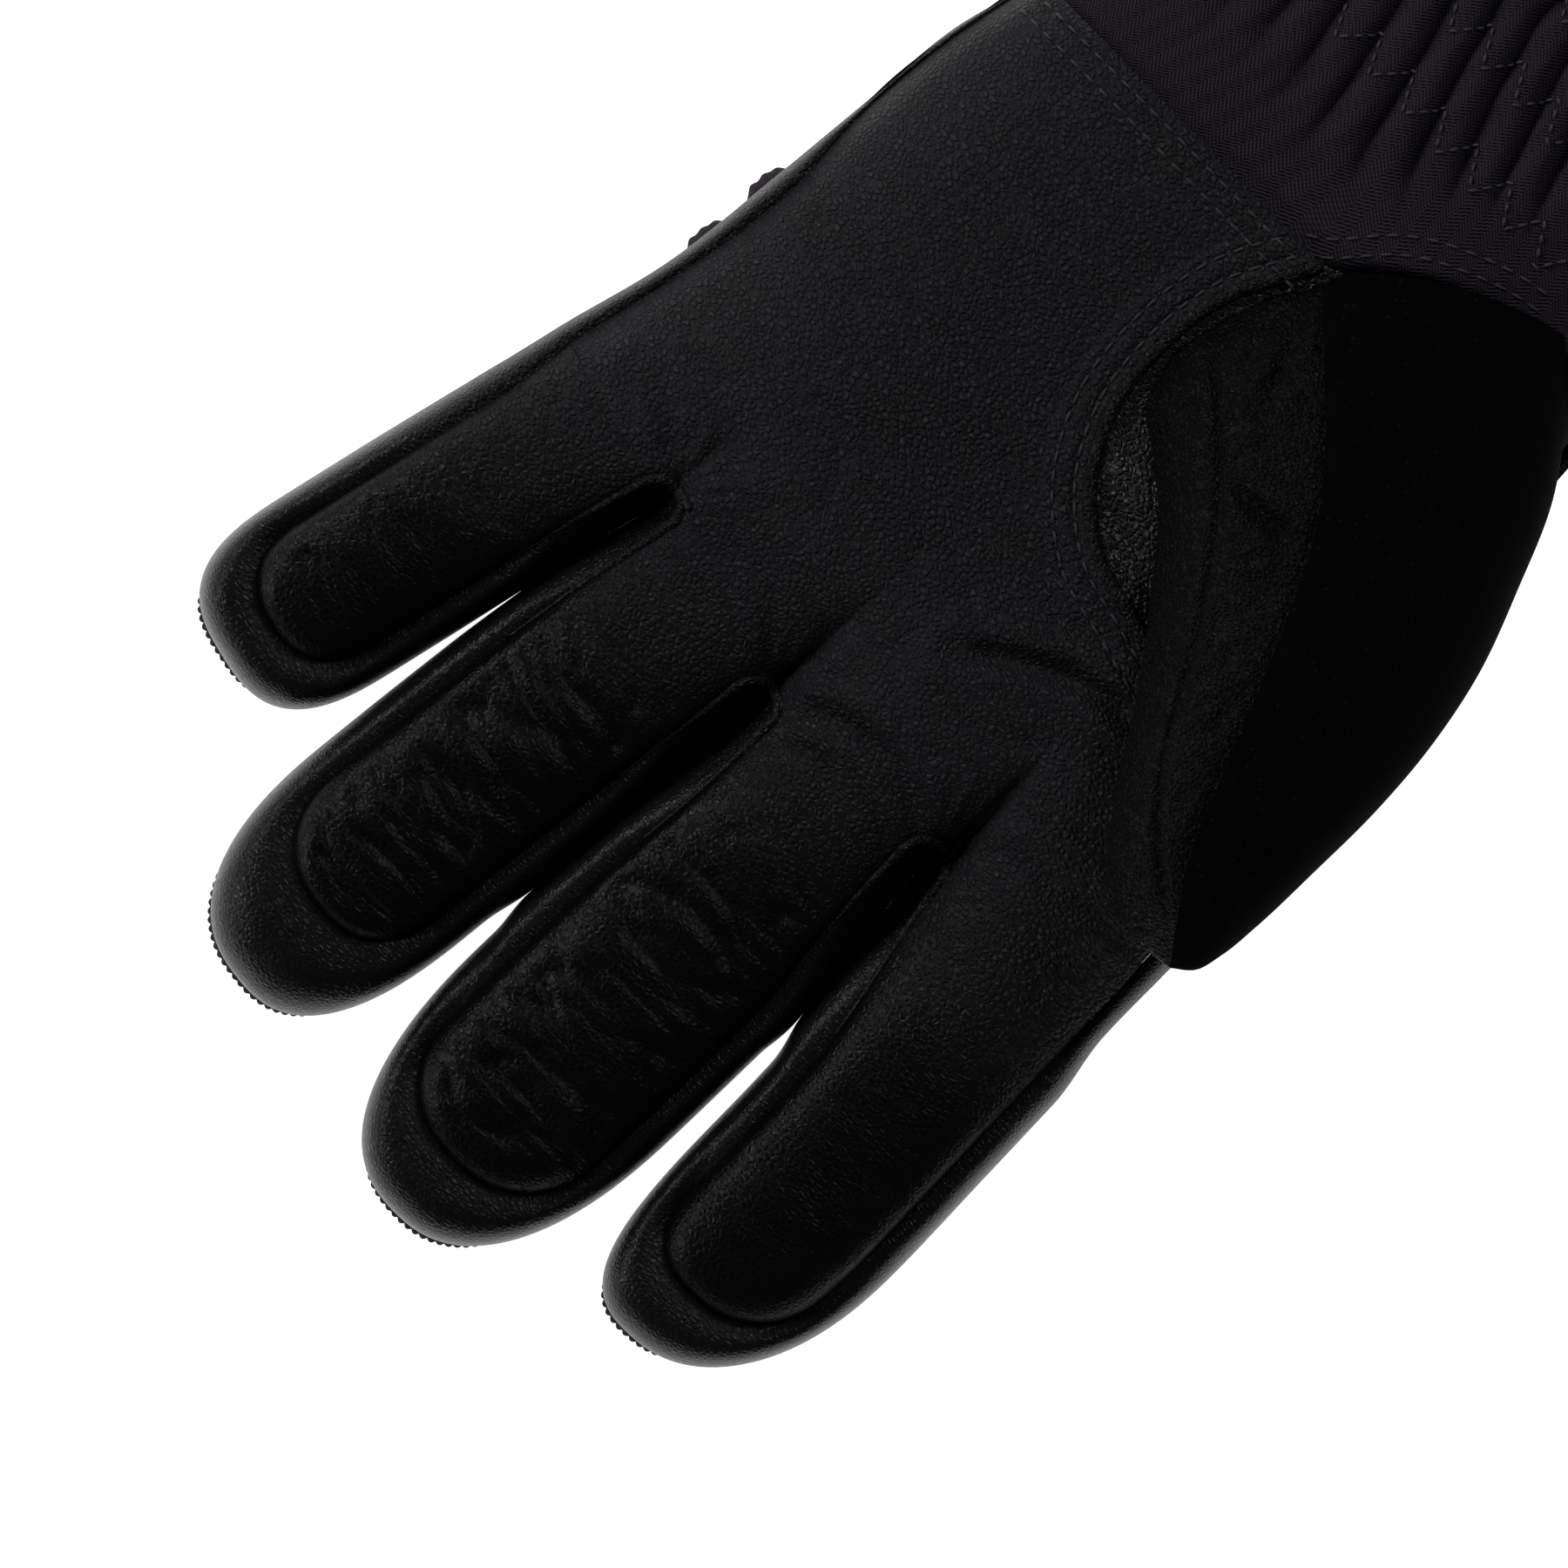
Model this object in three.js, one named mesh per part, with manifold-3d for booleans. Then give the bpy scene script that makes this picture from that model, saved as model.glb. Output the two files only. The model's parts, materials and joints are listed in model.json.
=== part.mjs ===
// Left-hand insulated ski glove, lying on its back with the palm up.
// Millimetres. +X runs from the wrist to the fingertips, +Y towards the thumb, +Z up.
// The origin is on the flat back of the hand, under the middle of the palm.
import * as THREE from 'three';
import { mergeVertices } from 'three/addons/utils/BufferGeometryUtils.js';
import Module from 'manifold-3d';

const wasm = await Module();
wasm.setup();

// ---- driving dimensions ----
const HAND_DEPTH = 34; // back to palm, over the hand, the wrist and the cuff
const RIM = 10; // radius of the rounded sides of the hand and the cuff
const WALL = 4; // shell, padding and lining of a front, a back or a roof
const SIDE_WALL = 8.5; // rounded side wall of the hand and the cuff
const LINING = 1.5; // lining and elastic bands
const PADDING = 3; // insulation on the back of the hand
const GAP = 0.3; // between pieces that are sewn or laid face to face
const CLEAR = 0.5; // each side of a hinge line

const SEAM_X = -54; // where the leather hand meets the fabric wrist
const WRIST_X = -92; // hinge line of the wrist
const WRIST_WIDTH = 98;
const WRIST_MIDDLE = -3;
const WRIST_FORWARD = 35; // degrees towards the palm
const WRIST_BACK = 15; // degrees towards the back
const ELASTIC_WIDTH = 11;
const ELASTIC_INSET = 8; // from the wrist hinge to each elastic band

const CUFF_LENGTH = 68;
const CUFF_FLARE = 5; // how far each side of the cuff spreads at its mouth
const HEM_LENGTH = 5;
const HEM_PROUD = 1; // how far the binding stands out of the cuff
const LOOP_REACH = 24;
const LOOP_WIDTH = 22;
const LOOP_STRAP = 5;

const FINGER_DEPTH = 26;
const FINGER_SIDE = 0.34; // half width of a front panel, as a share of the finger's width
const FINGER_FLEX = 55; // degrees at each finger hinge
const LITTLE_EDGE = -63.4; // outer edge of the little finger at its hinge
const FINGERS = [
  // hingeX: base hinge; space: to the finger before; knuckle: base hinge to middle hinge
  { name: 'little', hingeX: 42.9, space: 0, yaw: -9, rootWidth: 27, width: 27.5, knuckle: 24, reach: 53.5, toe: 8 },
  { name: 'ring', hingeX: 48, space: 1.8, yaw: -3, rootWidth: 30, width: 31.5, knuckle: 35, reach: 76, toe: 12 },
  { name: 'middle', hingeX: 50.5, space: 1.2, yaw: 3, rootWidth: 32, width: 33.5, knuckle: 36, reach: 78.5, toe: 11 },
  { name: 'index', hingeX: 51.9, space: 3.8, yaw: 6.5, rootWidth: 32, width: 31.5, knuckle: 29, reach: 64, toe: 10 },
];

const THUMB_X = -55; // root of the thumb on its hinge line
const THUMB_Y = 22;
const THUMB_YAW = 27.5;
const THUMB_FLEX = 45;
const THUMB_JOINT = 52; // root hinge to tip hinge
const THUMB_REACH = 87;
const THUMB_TOE = 9;
const THUMB_SEAM = -6; // where the middle strip meets the suede, from the thumb's middle
const THUMB_HOLE = { x: -33, y: 24, rx: 29, ry: 28 };
const GUSSET_SHIFT = { x: -3, y: 8 }; // how far the gusset's inner edge lies inside the hole

const SIDES = 16; // flat sides of a finger's round section
const FAR = 400; // past everything

// ---- finishes ----
const LEATHER = { color: 0x141518, roughness: 0.55, metalness: 0 };
const SUEDE = { color: 0x0b0b0c, roughness: 0.95, metalness: 0 };
const FABRIC = { color: 0x2b272d, roughness: 0.85, metalness: 0 };
const ELASTIC = { color: 0x1b1a1d, roughness: 0.9, metalness: 0 };
const FLEECE = { color: 0x202124, roughness: 1, metalness: 0 };

// ---- solids ----
const radians = THREE.MathUtils.degToRad;
const slope = (degrees) => Math.tan(radians(degrees / 2));

function solid(geometry) {
  const bare = geometry.index ? geometry.toNonIndexed() : geometry.clone();
  bare.deleteAttribute('normal');
  bare.deleteAttribute('uv');
  const merged = mergeVertices(bare, 1e-4);
  const corners = [];
  const index = merged.index.array;
  for (let i = 0; i < index.length; i += 3) {
    const [a, b, c] = [index[i], index[i + 1], index[i + 2]];
    if (a !== b && b !== c && c !== a) corners.push(a, b, c);
  }
  const mesh = new wasm.Mesh({
    numProp: 3,
    vertProperties: new Float32Array(merged.attributes.position.array),
    triVerts: new Uint32Array(corners),
  });
  return new wasm.Manifold(mesh);
}

function geometryOf(body) {
  const mesh = body.getMesh();
  const geometry = new THREE.BufferGeometry();
  geometry.setAttribute('position', new THREE.BufferAttribute(mesh.vertProperties, 3));
  geometry.setIndex(new THREE.BufferAttribute(mesh.triVerts, 1));
  geometry.computeVertexNormals();
  return geometry;
}

function block(x0, x1, y0, y1, z0, z1) {
  const box = new THREE.BoxGeometry(x1 - x0, y1 - y0, z1 - z0);
  box.translate((x0 + x1) / 2, (y0 + y1) / 2, (z0 + z1) / 2);
  return solid(box);
}

const shapeOf = (points) => new THREE.Shape(points.map(([a, b]) => new THREE.Vector2(a, b)));

// A plan outline in X and Y, raised from z0 to z1.
function raised(shape, z0, z1, matrix) {
  const geometry = new THREE.ExtrudeGeometry(shape, { depth: z1 - z0, bevelEnabled: false, curveSegments: 12 });
  geometry.translate(0, 0, z0);
  if (matrix) geometry.applyMatrix4(matrix);
  return solid(geometry);
}

// A side outline in X and Z, as wide as the space from y0 to y1.
function across(points, y0, y1, matrix) {
  const geometry = new THREE.ExtrudeGeometry(shapeOf(points), { depth: y1 - y0, bevelEnabled: false });
  geometry.rotateX(Math.PI / 2);
  geometry.translate(0, y1, 0);
  if (matrix) geometry.applyMatrix4(matrix);
  return solid(geometry);
}

// A round body along X through stations of { x, width, depth, rise }, with flat faces top and bottom.
function loft(stations) {
  const profile = [new THREE.Vector2(0, stations[0].x)];
  stations.forEach((s) => profile.push(new THREE.Vector2(1, s.x)));
  profile.push(new THREE.Vector2(0, stations.at(-1).x));
  const geometry = new THREE.LatheGeometry(profile, SIDES, Math.PI / SIDES);
  geometry.rotateZ(-Math.PI / 2);
  const flat = Math.cos(Math.PI / SIDES);
  const position = geometry.attributes.position;
  for (let i = 0; i < position.count; i += 1) {
    const s = stations.find((station) => Math.abs(station.x - position.getX(i)) < 1e-3);
    position.setY(i, (position.getY(i) * s.width) / 2 / flat);
    position.setZ(i, (position.getZ(i) * s.depth) / 2 / flat + (s.rise ?? 0));
  }
  return solid(geometry);
}

// Stations that round off the end of a body: a blunt nose from the given station to x = end.
function nose(from, end) {
  const bluntness = 2.6;
  return [0.35, 0.6, 0.8, 0.93, 0.985].map((share) => {
    const size = (1 - share ** bluntness) ** (1 / bluntness);
    return {
      x: from.x + (end - from.x) * share,
      width: from.width * size,
      depth: from.depth * size,
      rise: from.rise,
    };
  });
}

// ---- the glove ----
const glove = new THREE.Group();

function add(parent, name, body, finish) {
  const mesh = new THREE.Mesh(geometryOf(body), new THREE.MeshStandardMaterial(finish));
  mesh.name = name;
  parent.add(mesh);
}

// Fingers stand side by side from the little finger's outer edge.
let edge = LITTLE_EDGE;
for (const finger of FINGERS) {
  edge += finger.space;
  finger.hingeY = edge + finger.rootWidth / 2;
  edge += finger.rootWidth;
  finger.outer = edge;
}
const INDEX_EDGE = edge;
const FINGER_RISE = FINGER_DEPTH / 2;

function groupAt(x, y, z, yaw) {
  const group = new THREE.Group();
  group.position.set(x, y, z);
  group.rotation.z = radians(yaw);
  group.updateMatrix();
  return group;
}

// The hand and the wrist share one rounded block, cut to the finger hinges and to the wrist hinge.
const HAND_RISE = HAND_DEPTH / 2;
const WRIST_SIDES = [WRIST_MIDDLE - WRIST_WIDTH / 2, WRIST_MIDDLE + WRIST_WIDTH / 2];

// The side edges as straight lines, each through two points, moved inwards by an inset.
function edgesAt(x, from, to, inset) {
  const share = (x - from.x) / (to.x - from.x);
  const low = from.low + (to.low - from.low) * share + inset;
  const high = from.high + (to.high - from.high) * share - inset;
  return [low, high];
}

function outlineBetween(x0, x1, from, to, inset) {
  const [low0, high0] = edgesAt(x0, from, to, inset);
  const [low1, high1] = edgesAt(x1, from, to, inset);
  return shapeOf([[x0, low0], [x1, low1], [x1, high1], [x0, high0]]);
}

function roundedBlock(x0, x1, from, to, proud = 0) {
  const shape = outlineBetween(x0, x1, from, to, RIM - proud);
  const geometry = new THREE.ExtrudeGeometry(shape, {
    depth: HAND_DEPTH + 2 * proud - 2 * RIM,
    bevelThickness: RIM,
    bevelSize: RIM,
    bevelSegments: 4,
  });
  geometry.translate(0, 0, RIM - proud);
  return solid(geometry);
}

const KNUCKLES = { x: FINGERS[0].hingeX, low: LITTLE_EDGE, high: INDEX_EDGE };
const WRIST = { x: WRIST_X, low: WRIST_SIDES[0], high: WRIST_SIDES[1] };
const MOUTH_X = WRIST_X - CUFF_LENGTH;
const MOUTH = { x: MOUTH_X, low: WRIST_SIDES[0] - CUFF_FLARE, high: WRIST_SIDES[1] + CUFF_FLARE };
const FINGERS_END = Math.max(...FINGERS.map((finger) => finger.hingeX)) + RIM;

// Space past each finger hinge: leaning back above the hinge line, upright below it.
function pastHinge(finger, low, high) {
  const lean = slope(FINGER_FLEX);
  const top = HAND_DEPTH + 1;
  const points = [
    [-CLEAR, -FAR],
    [FAR, -FAR],
    [FAR, top],
    [-CLEAR - (top - FINGER_RISE) * lean, top],
    [-CLEAR, FINGER_RISE],
  ];
  const group = groupAt(finger.hingeX, finger.hingeY, 0, finger.yaw);
  const body = across(points, -FAR, FAR, group.matrix);
  return body.intersect(block(-FAR, FAR, low, high, -FAR, FAR));
}

function cutToHinges(body) {
  let cut = body;
  let low = -FAR;
  FINGERS.forEach((finger, i) => {
    const next = FINGERS[i + 1];
    const high = next ? finger.outer + next.space / 2 : FAR;
    cut = cut.subtract(pastHinge(finger, low, high));
    low = high;
  });
  return cut;
}

// Space kept by the pieces on one side of the wrist hinge: the hand's (+1) or the cuff's (-1).
function besideWrist(side) {
  const forward = slope(WRIST_FORWARD) * (HAND_RISE + HEM_PROUD);
  const back = slope(WRIST_BACK) * (HAND_RISE + HEM_PROUD);
  const points = [
    [side * FAR, -HEM_PROUD],
    [side * (CLEAR + back), -HEM_PROUD],
    [side * CLEAR, HAND_RISE],
    [side * (CLEAR + forward), HAND_DEPTH + HEM_PROUD],
    [side * FAR, HAND_DEPTH + HEM_PROUD],
  ];
  const move = new THREE.Matrix4().makeTranslation(WRIST_X, 0, 0);
  return across(side > 0 ? points : points.reverse(), -FAR, FAR, move);
}

// One stretch of the shell between x0 and x1 as a front, a back and two side pieces.
function shellPieces(block0, x0, x1, from, to) {
  const core = (z0, z1) => raised(outlineBetween(x0, x1, from, to, SIDE_WALL), z0, z1);
  const slab = (low, high) => block0.intersect(block(x0, x1, low, high, -FAR, FAR));
  const middle = (from.low + from.high) / 2;
  const wide = raised(outlineBetween(x0 - 1, x1 + 1, from, to, SIDE_WALL - GAP), -FAR, FAR);
  return {
    front: block0.intersect(core(HAND_DEPTH - WALL, FAR)),
    back: block0.intersect(core(-FAR, WALL)),
    little: slab(-FAR, middle).subtract(wide),
    thumb: slab(middle, FAR).subtract(wide),
  };
}

// A flat layer inside the shell between x0 and x1.
function layer(x0, x1, from, to, z0, z1) {
  return raised(outlineBetween(x0, x1, from, to, SIDE_WALL + GAP), z0, z1);
}

const FRONT_LAYER = [HAND_DEPTH - WALL - GAP - LINING, HAND_DEPTH - WALL - GAP];

function thumbHole(grow, shift) {
  const { x, y, rx, ry } = THUMB_HOLE;
  const hole = new THREE.Shape();
  hole.absellipse(x + shift.x, y + shift.y, rx + grow, ry + grow, 0, 2 * Math.PI);
  const kept = block(SEAM_X + WALL, FAR, -FAR, FAR, -FAR, FAR);
  return raised(hole, -FAR, FAR).intersect(kept);
}

function buildHand() {
  const whole = roundedBlock(WRIST_X - RIM, FINGERS_END, WRIST, KNUCKLES);
  const shaped = cutToHinges(whole).intersect(besideWrist(1));
  const hand = shellPieces(shaped, SEAM_X + GAP, FINGERS_END, WRIST, KNUCKLES);
  const wrist = shellPieces(shaped, WRIST_X, SEAM_X, WRIST, KNUCKLES);
  const hole = thumbHole(0, { x: 0, y: 0 });
  add(glove, 'palm_panel', hand.front.subtract(hole), LEATHER);
  add(glove, 'back_panel', hand.back, FABRIC);
  add(glove, 'little_side_panel', hand.little, LEATHER);
  add(glove, 'index_side_panel', hand.thumb, LEATHER);
  add(glove, 'wrist_front_panel', wrist.front, FABRIC);
  add(glove, 'wrist_back_panel', wrist.back, FABRIC);
  add(glove, 'wrist_little_side', wrist.little, FABRIC);
  add(glove, 'wrist_thumb_side', wrist.thumb, FABRIC);

  const leaf = thumbHole(-GAP, { x: 0, y: 0 }).subtract(thumbHole(0, GUSSET_SHIFT));
  const gusset = hand.front.intersect(leaf);
  add(glove, 'thumb_gusset', gusset, LEATHER);

  const past = FINGERS_END;
  const lining = cutToHinges(layer(SEAM_X + GAP, past, WRIST, KNUCKLES, ...FRONT_LAYER));
  add(glove, 'palm_lining', lining.subtract(hole), FLEECE);
  const padded = layer(SEAM_X, past, WRIST, KNUCKLES, WALL + GAP, WALL + GAP + PADDING);
  add(glove, 'back_insulation', cutToHinges(padded), FLEECE);
  const onPad = WALL + GAP + PADDING + GAP;
  add(glove, 'knuckle_elastic', layer(-2, 10, WRIST, KNUCKLES, onPad, onPad + LINING), ELASTIC);
  const band = WRIST_X + ELASTIC_INSET;
  add(glove, 'wrist_elastic', layer(band, band + ELASTIC_WIDTH, WRIST, KNUCKLES, ...FRONT_LAYER), ELASTIC);
}

function buildCuff() {
  const whole = roundedBlock(MOUTH_X - RIM, WRIST_X + RIM, WRIST, MOUTH).intersect(besideWrist(-1));
  const cuff = shellPieces(whole, MOUTH_X, WRIST_X, WRIST, MOUTH);
  add(glove, 'cuff_front_panel', cuff.front, FABRIC);
  add(glove, 'cuff_back_panel', cuff.back, FABRIC);
  add(glove, 'cuff_little_side', cuff.little, FABRIC);
  add(glove, 'cuff_thumb_side', cuff.thumb, FABRIC);

  const band = WRIST_X - ELASTIC_INSET;
  add(glove, 'cuff_elastic', layer(band - ELASTIC_WIDTH, band, WRIST, MOUTH, ...FRONT_LAYER), ELASTIC);
  const lined = band - ELASTIC_WIDTH - GAP;
  add(glove, 'cuff_front_lining', layer(MOUTH_X, lined, WRIST, MOUTH, ...FRONT_LAYER), FLEECE);
  const backLayer = [WALL + GAP, WALL + GAP + LINING];
  add(glove, 'cuff_back_lining', layer(MOUTH_X, lined, WRIST, MOUTH, ...backLayer), FLEECE);

  const hemEnd = MOUTH_X - GAP;
  const proud = roundedBlock(MOUTH_X - HEM_LENGTH - 2 * RIM, WRIST_X, WRIST, MOUTH, HEM_PROUD);
  const slice = block(hemEnd - HEM_LENGTH, hemEnd, -FAR, FAR, 0, HAND_DEPTH);
  const room = outlineBetween(-FAR / 2, 0, WRIST, MOUTH, SIDE_WALL);
  const hem = proud.intersect(slice).subtract(raised(room, WALL, HAND_DEPTH - WALL));
  add(glove, 'cuff_hem_binding', hem, FABRIC);

  const start = hemEnd - HEM_LENGTH - GAP;
  const half = LOOP_WIDTH / 2;
  const strap = shapeOf([
    [start, WRIST_MIDDLE - half],
    [start, WRIST_MIDDLE + half],
    [start - LOOP_REACH, WRIST_MIDDLE + half],
    [start - LOOP_REACH, WRIST_MIDDLE - half],
  ]);
  const inside = half - LOOP_STRAP;
  strap.holes.push(
    new THREE.Path([
      new THREE.Vector2(start - LOOP_STRAP / 2, WRIST_MIDDLE - inside),
      new THREE.Vector2(start - LOOP_REACH + LOOP_STRAP, WRIST_MIDDLE - inside),
      new THREE.Vector2(start - LOOP_REACH + LOOP_STRAP, WRIST_MIDDLE + inside),
      new THREE.Vector2(start - LOOP_STRAP / 2, WRIST_MIDDLE + inside),
    ]),
  );
  add(glove, 'pull_loop', raised(strap, HAND_DEPTH - WALL, HAND_DEPTH - WALL + LINING), ELASTIC);
}

// Four convex pieces round a square-cornered hollow, cut from a round body along X.
function fourPieces(body, half, floor, roof) {
  const inner = half - GAP / 2;
  const outer = half + GAP / 2;
  return {
    front: body.intersect(block(-FAR, FAR, -inner, inner, roof, FAR)),
    back: body.intersect(block(-FAR, FAR, -inner, inner, -FAR, floor)),
    right: body.intersect(block(-FAR, FAR, -FAR, -outer, -FAR, FAR)),
    left: body.intersect(block(-FAR, FAR, outer, FAR, -FAR, FAR)),
  };
}

// Side outline of the room between two hinges, or past the last one, that bends towards +Z.
function hingeRoom(start, end, rise, top, lean) {
  const reach = (top - rise) * lean;
  const far = end ?? FAR;
  const closed = end === null ? 0 : CLEAR;
  const closedTop = end === null ? 0 : CLEAR + reach;
  return [
    [start + CLEAR, -FAR],
    [far - closed, -FAR],
    [far - closed, rise],
    [far - closedTop, top],
    [start + CLEAR + reach, top],
    [start + CLEAR, rise],
  ];
}

function buildFinger(finger) {
  const { name, rootWidth, width, knuckle, reach, toe } = finger;
  const group = groupAt(finger.hingeX, finger.hingeY, 0, finger.yaw);
  glove.add(group);
  const lean = slope(FINGER_FLEX);
  const rise = FINGER_RISE;
  const station = (x, wide) => ({ x, width: wide, depth: FINGER_DEPTH, rise });
  const floor = WALL;
  const roof = FINGER_DEPTH - WALL;

  const base = loft([station(0, rootWidth), station(knuckle, width)]);
  const baseRoom = across(hingeRoom(0, knuckle, rise, FINGER_DEPTH, lean), -FAR, FAR);
  const baseParts = fourPieces(base.intersect(baseRoom), rootWidth * FINGER_SIDE, floor, roof);
  add(group, `${name}_base_front`, baseParts.front, LEATHER);
  add(group, `${name}_base_back`, baseParts.back, FABRIC);
  add(group, `${name}_base_inner_side`, baseParts.right, LEATHER);
  add(group, `${name}_base_outer_side`, baseParts.left, LEATHER);

  const shoulder = station(reach - width * 0.55, width);
  const tip = loft([station(knuckle, width), shoulder, ...nose(shoulder, reach)]);
  const tipRoom = across(hingeRoom(knuckle, null, rise, FINGER_DEPTH, lean), -FAR, FAR);
  const whole = tip.intersect(tipRoom);
  const half = width * FINGER_SIDE;
  const short = whole.intersect(block(0, reach - toe - GAP, -FAR, FAR, -FAR, FAR));
  const tipParts = fourPieces(short, half, floor, roof);
  add(group, `${name}_tip_front`, tipParts.front, LEATHER);
  add(group, `${name}_tip_back`, tipParts.back, FABRIC);
  const room = block(-FAR, reach - toe, -half - GAP / 2, half + GAP / 2, -FAR, FAR);
  add(group, `${name}_tip_wrap`, whole.subtract(room), LEATHER);
}

// The thumb lies on the palm, so its underside is flat and its roof climbs towards the tip.
const THUMB_STATIONS = [
  { x: 0, width: 44, depth: 20, rise: 36 },
  { x: 30, width: 48, depth: 26, rise: 39 },
  { x: THUMB_JOINT, width: 41, depth: 28, rise: 43 },
  { x: 62, width: 33, depth: 27, rise: 44.5 },
  { x: 74, width: 26.5, depth: 25, rise: 46 },
].map((s) => ({ ...s, rise: s.rise - 34 + HAND_DEPTH }));

function thumbRoof() {
  const tops = THUMB_STATIONS.map((s) => [s.x, s.rise + s.depth / 2 - WALL]);
  const last = tops.at(-1);
  return [[-CLEAR, tops[0][1]], ...tops.slice(1), [FAR, last[1]], [FAR, FAR], [-CLEAR, FAR]];
}

// Plan outline of the room between the thumb's hinges; the tip bends towards -Y.
function thumbRoom(start, end) {
  const lean = slope(THUMB_FLEX);
  const wide = 30;
  if (end === null) {
    return shapeOf([[start + CLEAR, wide], [start + CLEAR, 0], [start + CLEAR + wide * lean, -wide], [FAR, -wide], [FAR, wide]]);
  }
  return shapeOf([[start, wide], [start, -wide], [end - CLEAR - wide * lean, -wide], [end - CLEAR, 0], [end - CLEAR, wide]]);
}

function buildThumb() {
  const group = groupAt(THUMB_X, THUMB_Y, 0, THUMB_YAW);
  glove.add(group);
  const under = HAND_DEPTH + GAP;
  const shoulder = THUMB_STATIONS.at(-1);
  const whole = loft([...THUMB_STATIONS, ...nose(shoulder, THUMB_REACH)]).intersect(
    block(CLEAR, FAR, -FAR, FAR, under, FAR),
  );
  const roof = across(thumbRoof(), -FAR, FAR);

  const base = whole.intersect(raised(thumbRoom(0, THUMB_JOINT), 0, FAR));
  const baseHalf = 15;
  const baseParts = fourPieces(base, baseHalf, under + WALL, under);
  const top = baseParts.front.intersect(roof);
  const strip = block(-FAR, FAR, -FAR, THUMB_SEAM - GAP / 2, 0, FAR);
  const patch = block(-FAR, FAR, THUMB_SEAM + GAP / 2, FAR, 0, FAR);
  add(group, 'thumb_base_inner_panel', baseParts.right, LEATHER);
  add(group, 'thumb_base_middle_strip', top.intersect(strip), LEATHER);
  add(group, 'thumb_base_suede_patch', top.intersect(patch), SUEDE);
  add(group, 'thumb_base_outer_side', baseParts.left, SUEDE);

  const tip = whole.intersect(raised(thumbRoom(THUMB_JOINT, null), 0, FAR));
  const tipHalf = 9;
  const short = tip.intersect(block(0, THUMB_REACH - THUMB_TOE - GAP, -FAR, FAR, 0, FAR));
  const tipParts = fourPieces(short, tipHalf, under + WALL, under);
  add(group, 'thumb_tip_suede_patch', tipParts.front.intersect(roof), SUEDE);
  add(group, 'thumb_tip_under_panel', tipParts.back, LEATHER);
  const room = block(-FAR, THUMB_REACH - THUMB_TOE, -tipHalf - GAP / 2, tipHalf + GAP / 2, -FAR, FAR);
  add(group, 'thumb_tip_wrap', tip.subtract(room), LEATHER);
}

buildHand();
buildCuff();
FINGERS.forEach(buildFinger);
buildThumb();

export default glove;
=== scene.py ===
"""A padded ski glove for the left hand, lying palm up: its visible leather, suede and cloth."""

import json
import math

import bpy
import numpy as np
from mathutils import Matrix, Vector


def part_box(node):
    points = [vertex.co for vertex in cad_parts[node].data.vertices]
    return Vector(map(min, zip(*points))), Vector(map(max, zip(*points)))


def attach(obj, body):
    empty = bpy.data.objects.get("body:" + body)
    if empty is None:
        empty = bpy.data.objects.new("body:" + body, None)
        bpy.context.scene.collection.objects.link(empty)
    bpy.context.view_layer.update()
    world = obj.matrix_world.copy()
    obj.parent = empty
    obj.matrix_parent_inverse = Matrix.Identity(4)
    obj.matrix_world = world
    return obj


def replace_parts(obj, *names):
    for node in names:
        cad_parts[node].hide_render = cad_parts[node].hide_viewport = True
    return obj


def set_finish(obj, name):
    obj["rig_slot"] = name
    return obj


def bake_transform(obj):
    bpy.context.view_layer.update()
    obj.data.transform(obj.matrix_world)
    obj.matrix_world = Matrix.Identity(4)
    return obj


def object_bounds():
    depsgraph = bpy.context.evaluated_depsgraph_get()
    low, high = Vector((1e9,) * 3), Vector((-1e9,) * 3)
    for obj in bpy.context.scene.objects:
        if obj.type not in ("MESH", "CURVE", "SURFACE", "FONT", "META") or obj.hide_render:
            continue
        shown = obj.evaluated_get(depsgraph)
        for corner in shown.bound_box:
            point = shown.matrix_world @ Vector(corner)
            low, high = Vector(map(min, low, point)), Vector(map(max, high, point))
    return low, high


bl_info = {
    "name": "Ski glove",
    "version": (1, 0, 0),
    "blender": (4, 5, 0),
    "location": "3D View > Sidebar > Ski glove",
    "description": "Leather palm, fingers, thumb, gathered cuff and stitching of a padded ski glove",
    "category": "Object",
}

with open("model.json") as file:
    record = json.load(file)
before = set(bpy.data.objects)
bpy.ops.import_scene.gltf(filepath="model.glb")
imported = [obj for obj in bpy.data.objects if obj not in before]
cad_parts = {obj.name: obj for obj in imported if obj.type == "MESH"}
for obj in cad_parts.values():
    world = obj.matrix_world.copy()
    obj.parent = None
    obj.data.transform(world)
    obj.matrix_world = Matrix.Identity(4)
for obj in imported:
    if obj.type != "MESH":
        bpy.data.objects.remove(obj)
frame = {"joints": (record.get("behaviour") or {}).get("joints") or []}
CAD_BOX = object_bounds()
JOINTS = {j["name"]: j for j in frame["joints"]}
MM = 0.001

# Sizes in millimetres in the glove's frame: X towards the fingertips, Y towards the thumb, Z up out of the palm.
PALM_CORE = 17.0
FINGER_CORE = 13.5
BACK_REST = 0.5
WRIST_SEAM = ((-53.8, -54.4), (-56.9, 1.8))
HOLE_LINE = (
    (-56.9, 1.8),
    (-43.0, -4.0),
    (-32.0, -4.5),
    (-21.5, -2.3),
    (-12.0, 3.8),
    (-6.3, 12.0),
    (-4.2, 22.0),
    (-2.0, 33.0),
    (3.0, 44.0),
    (12.0, 53.0),
    (24.0, 58.5),
    (37.0, 60.5),
)
LITTLE_LINE = ((-53.8, -54.4), (-36.0, -56.5), (-22.0, -56.6), (-8.4, -55.0), (10.0, -56.2), (30.0, -59.2))
PALM_LEFT = ((-62, -53.4), (-48, -55.8), (-42, -57.0), (-24, -57.6), (-8, -58.0), (12, -58.9), (30, -62.2), (60, -66))
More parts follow.
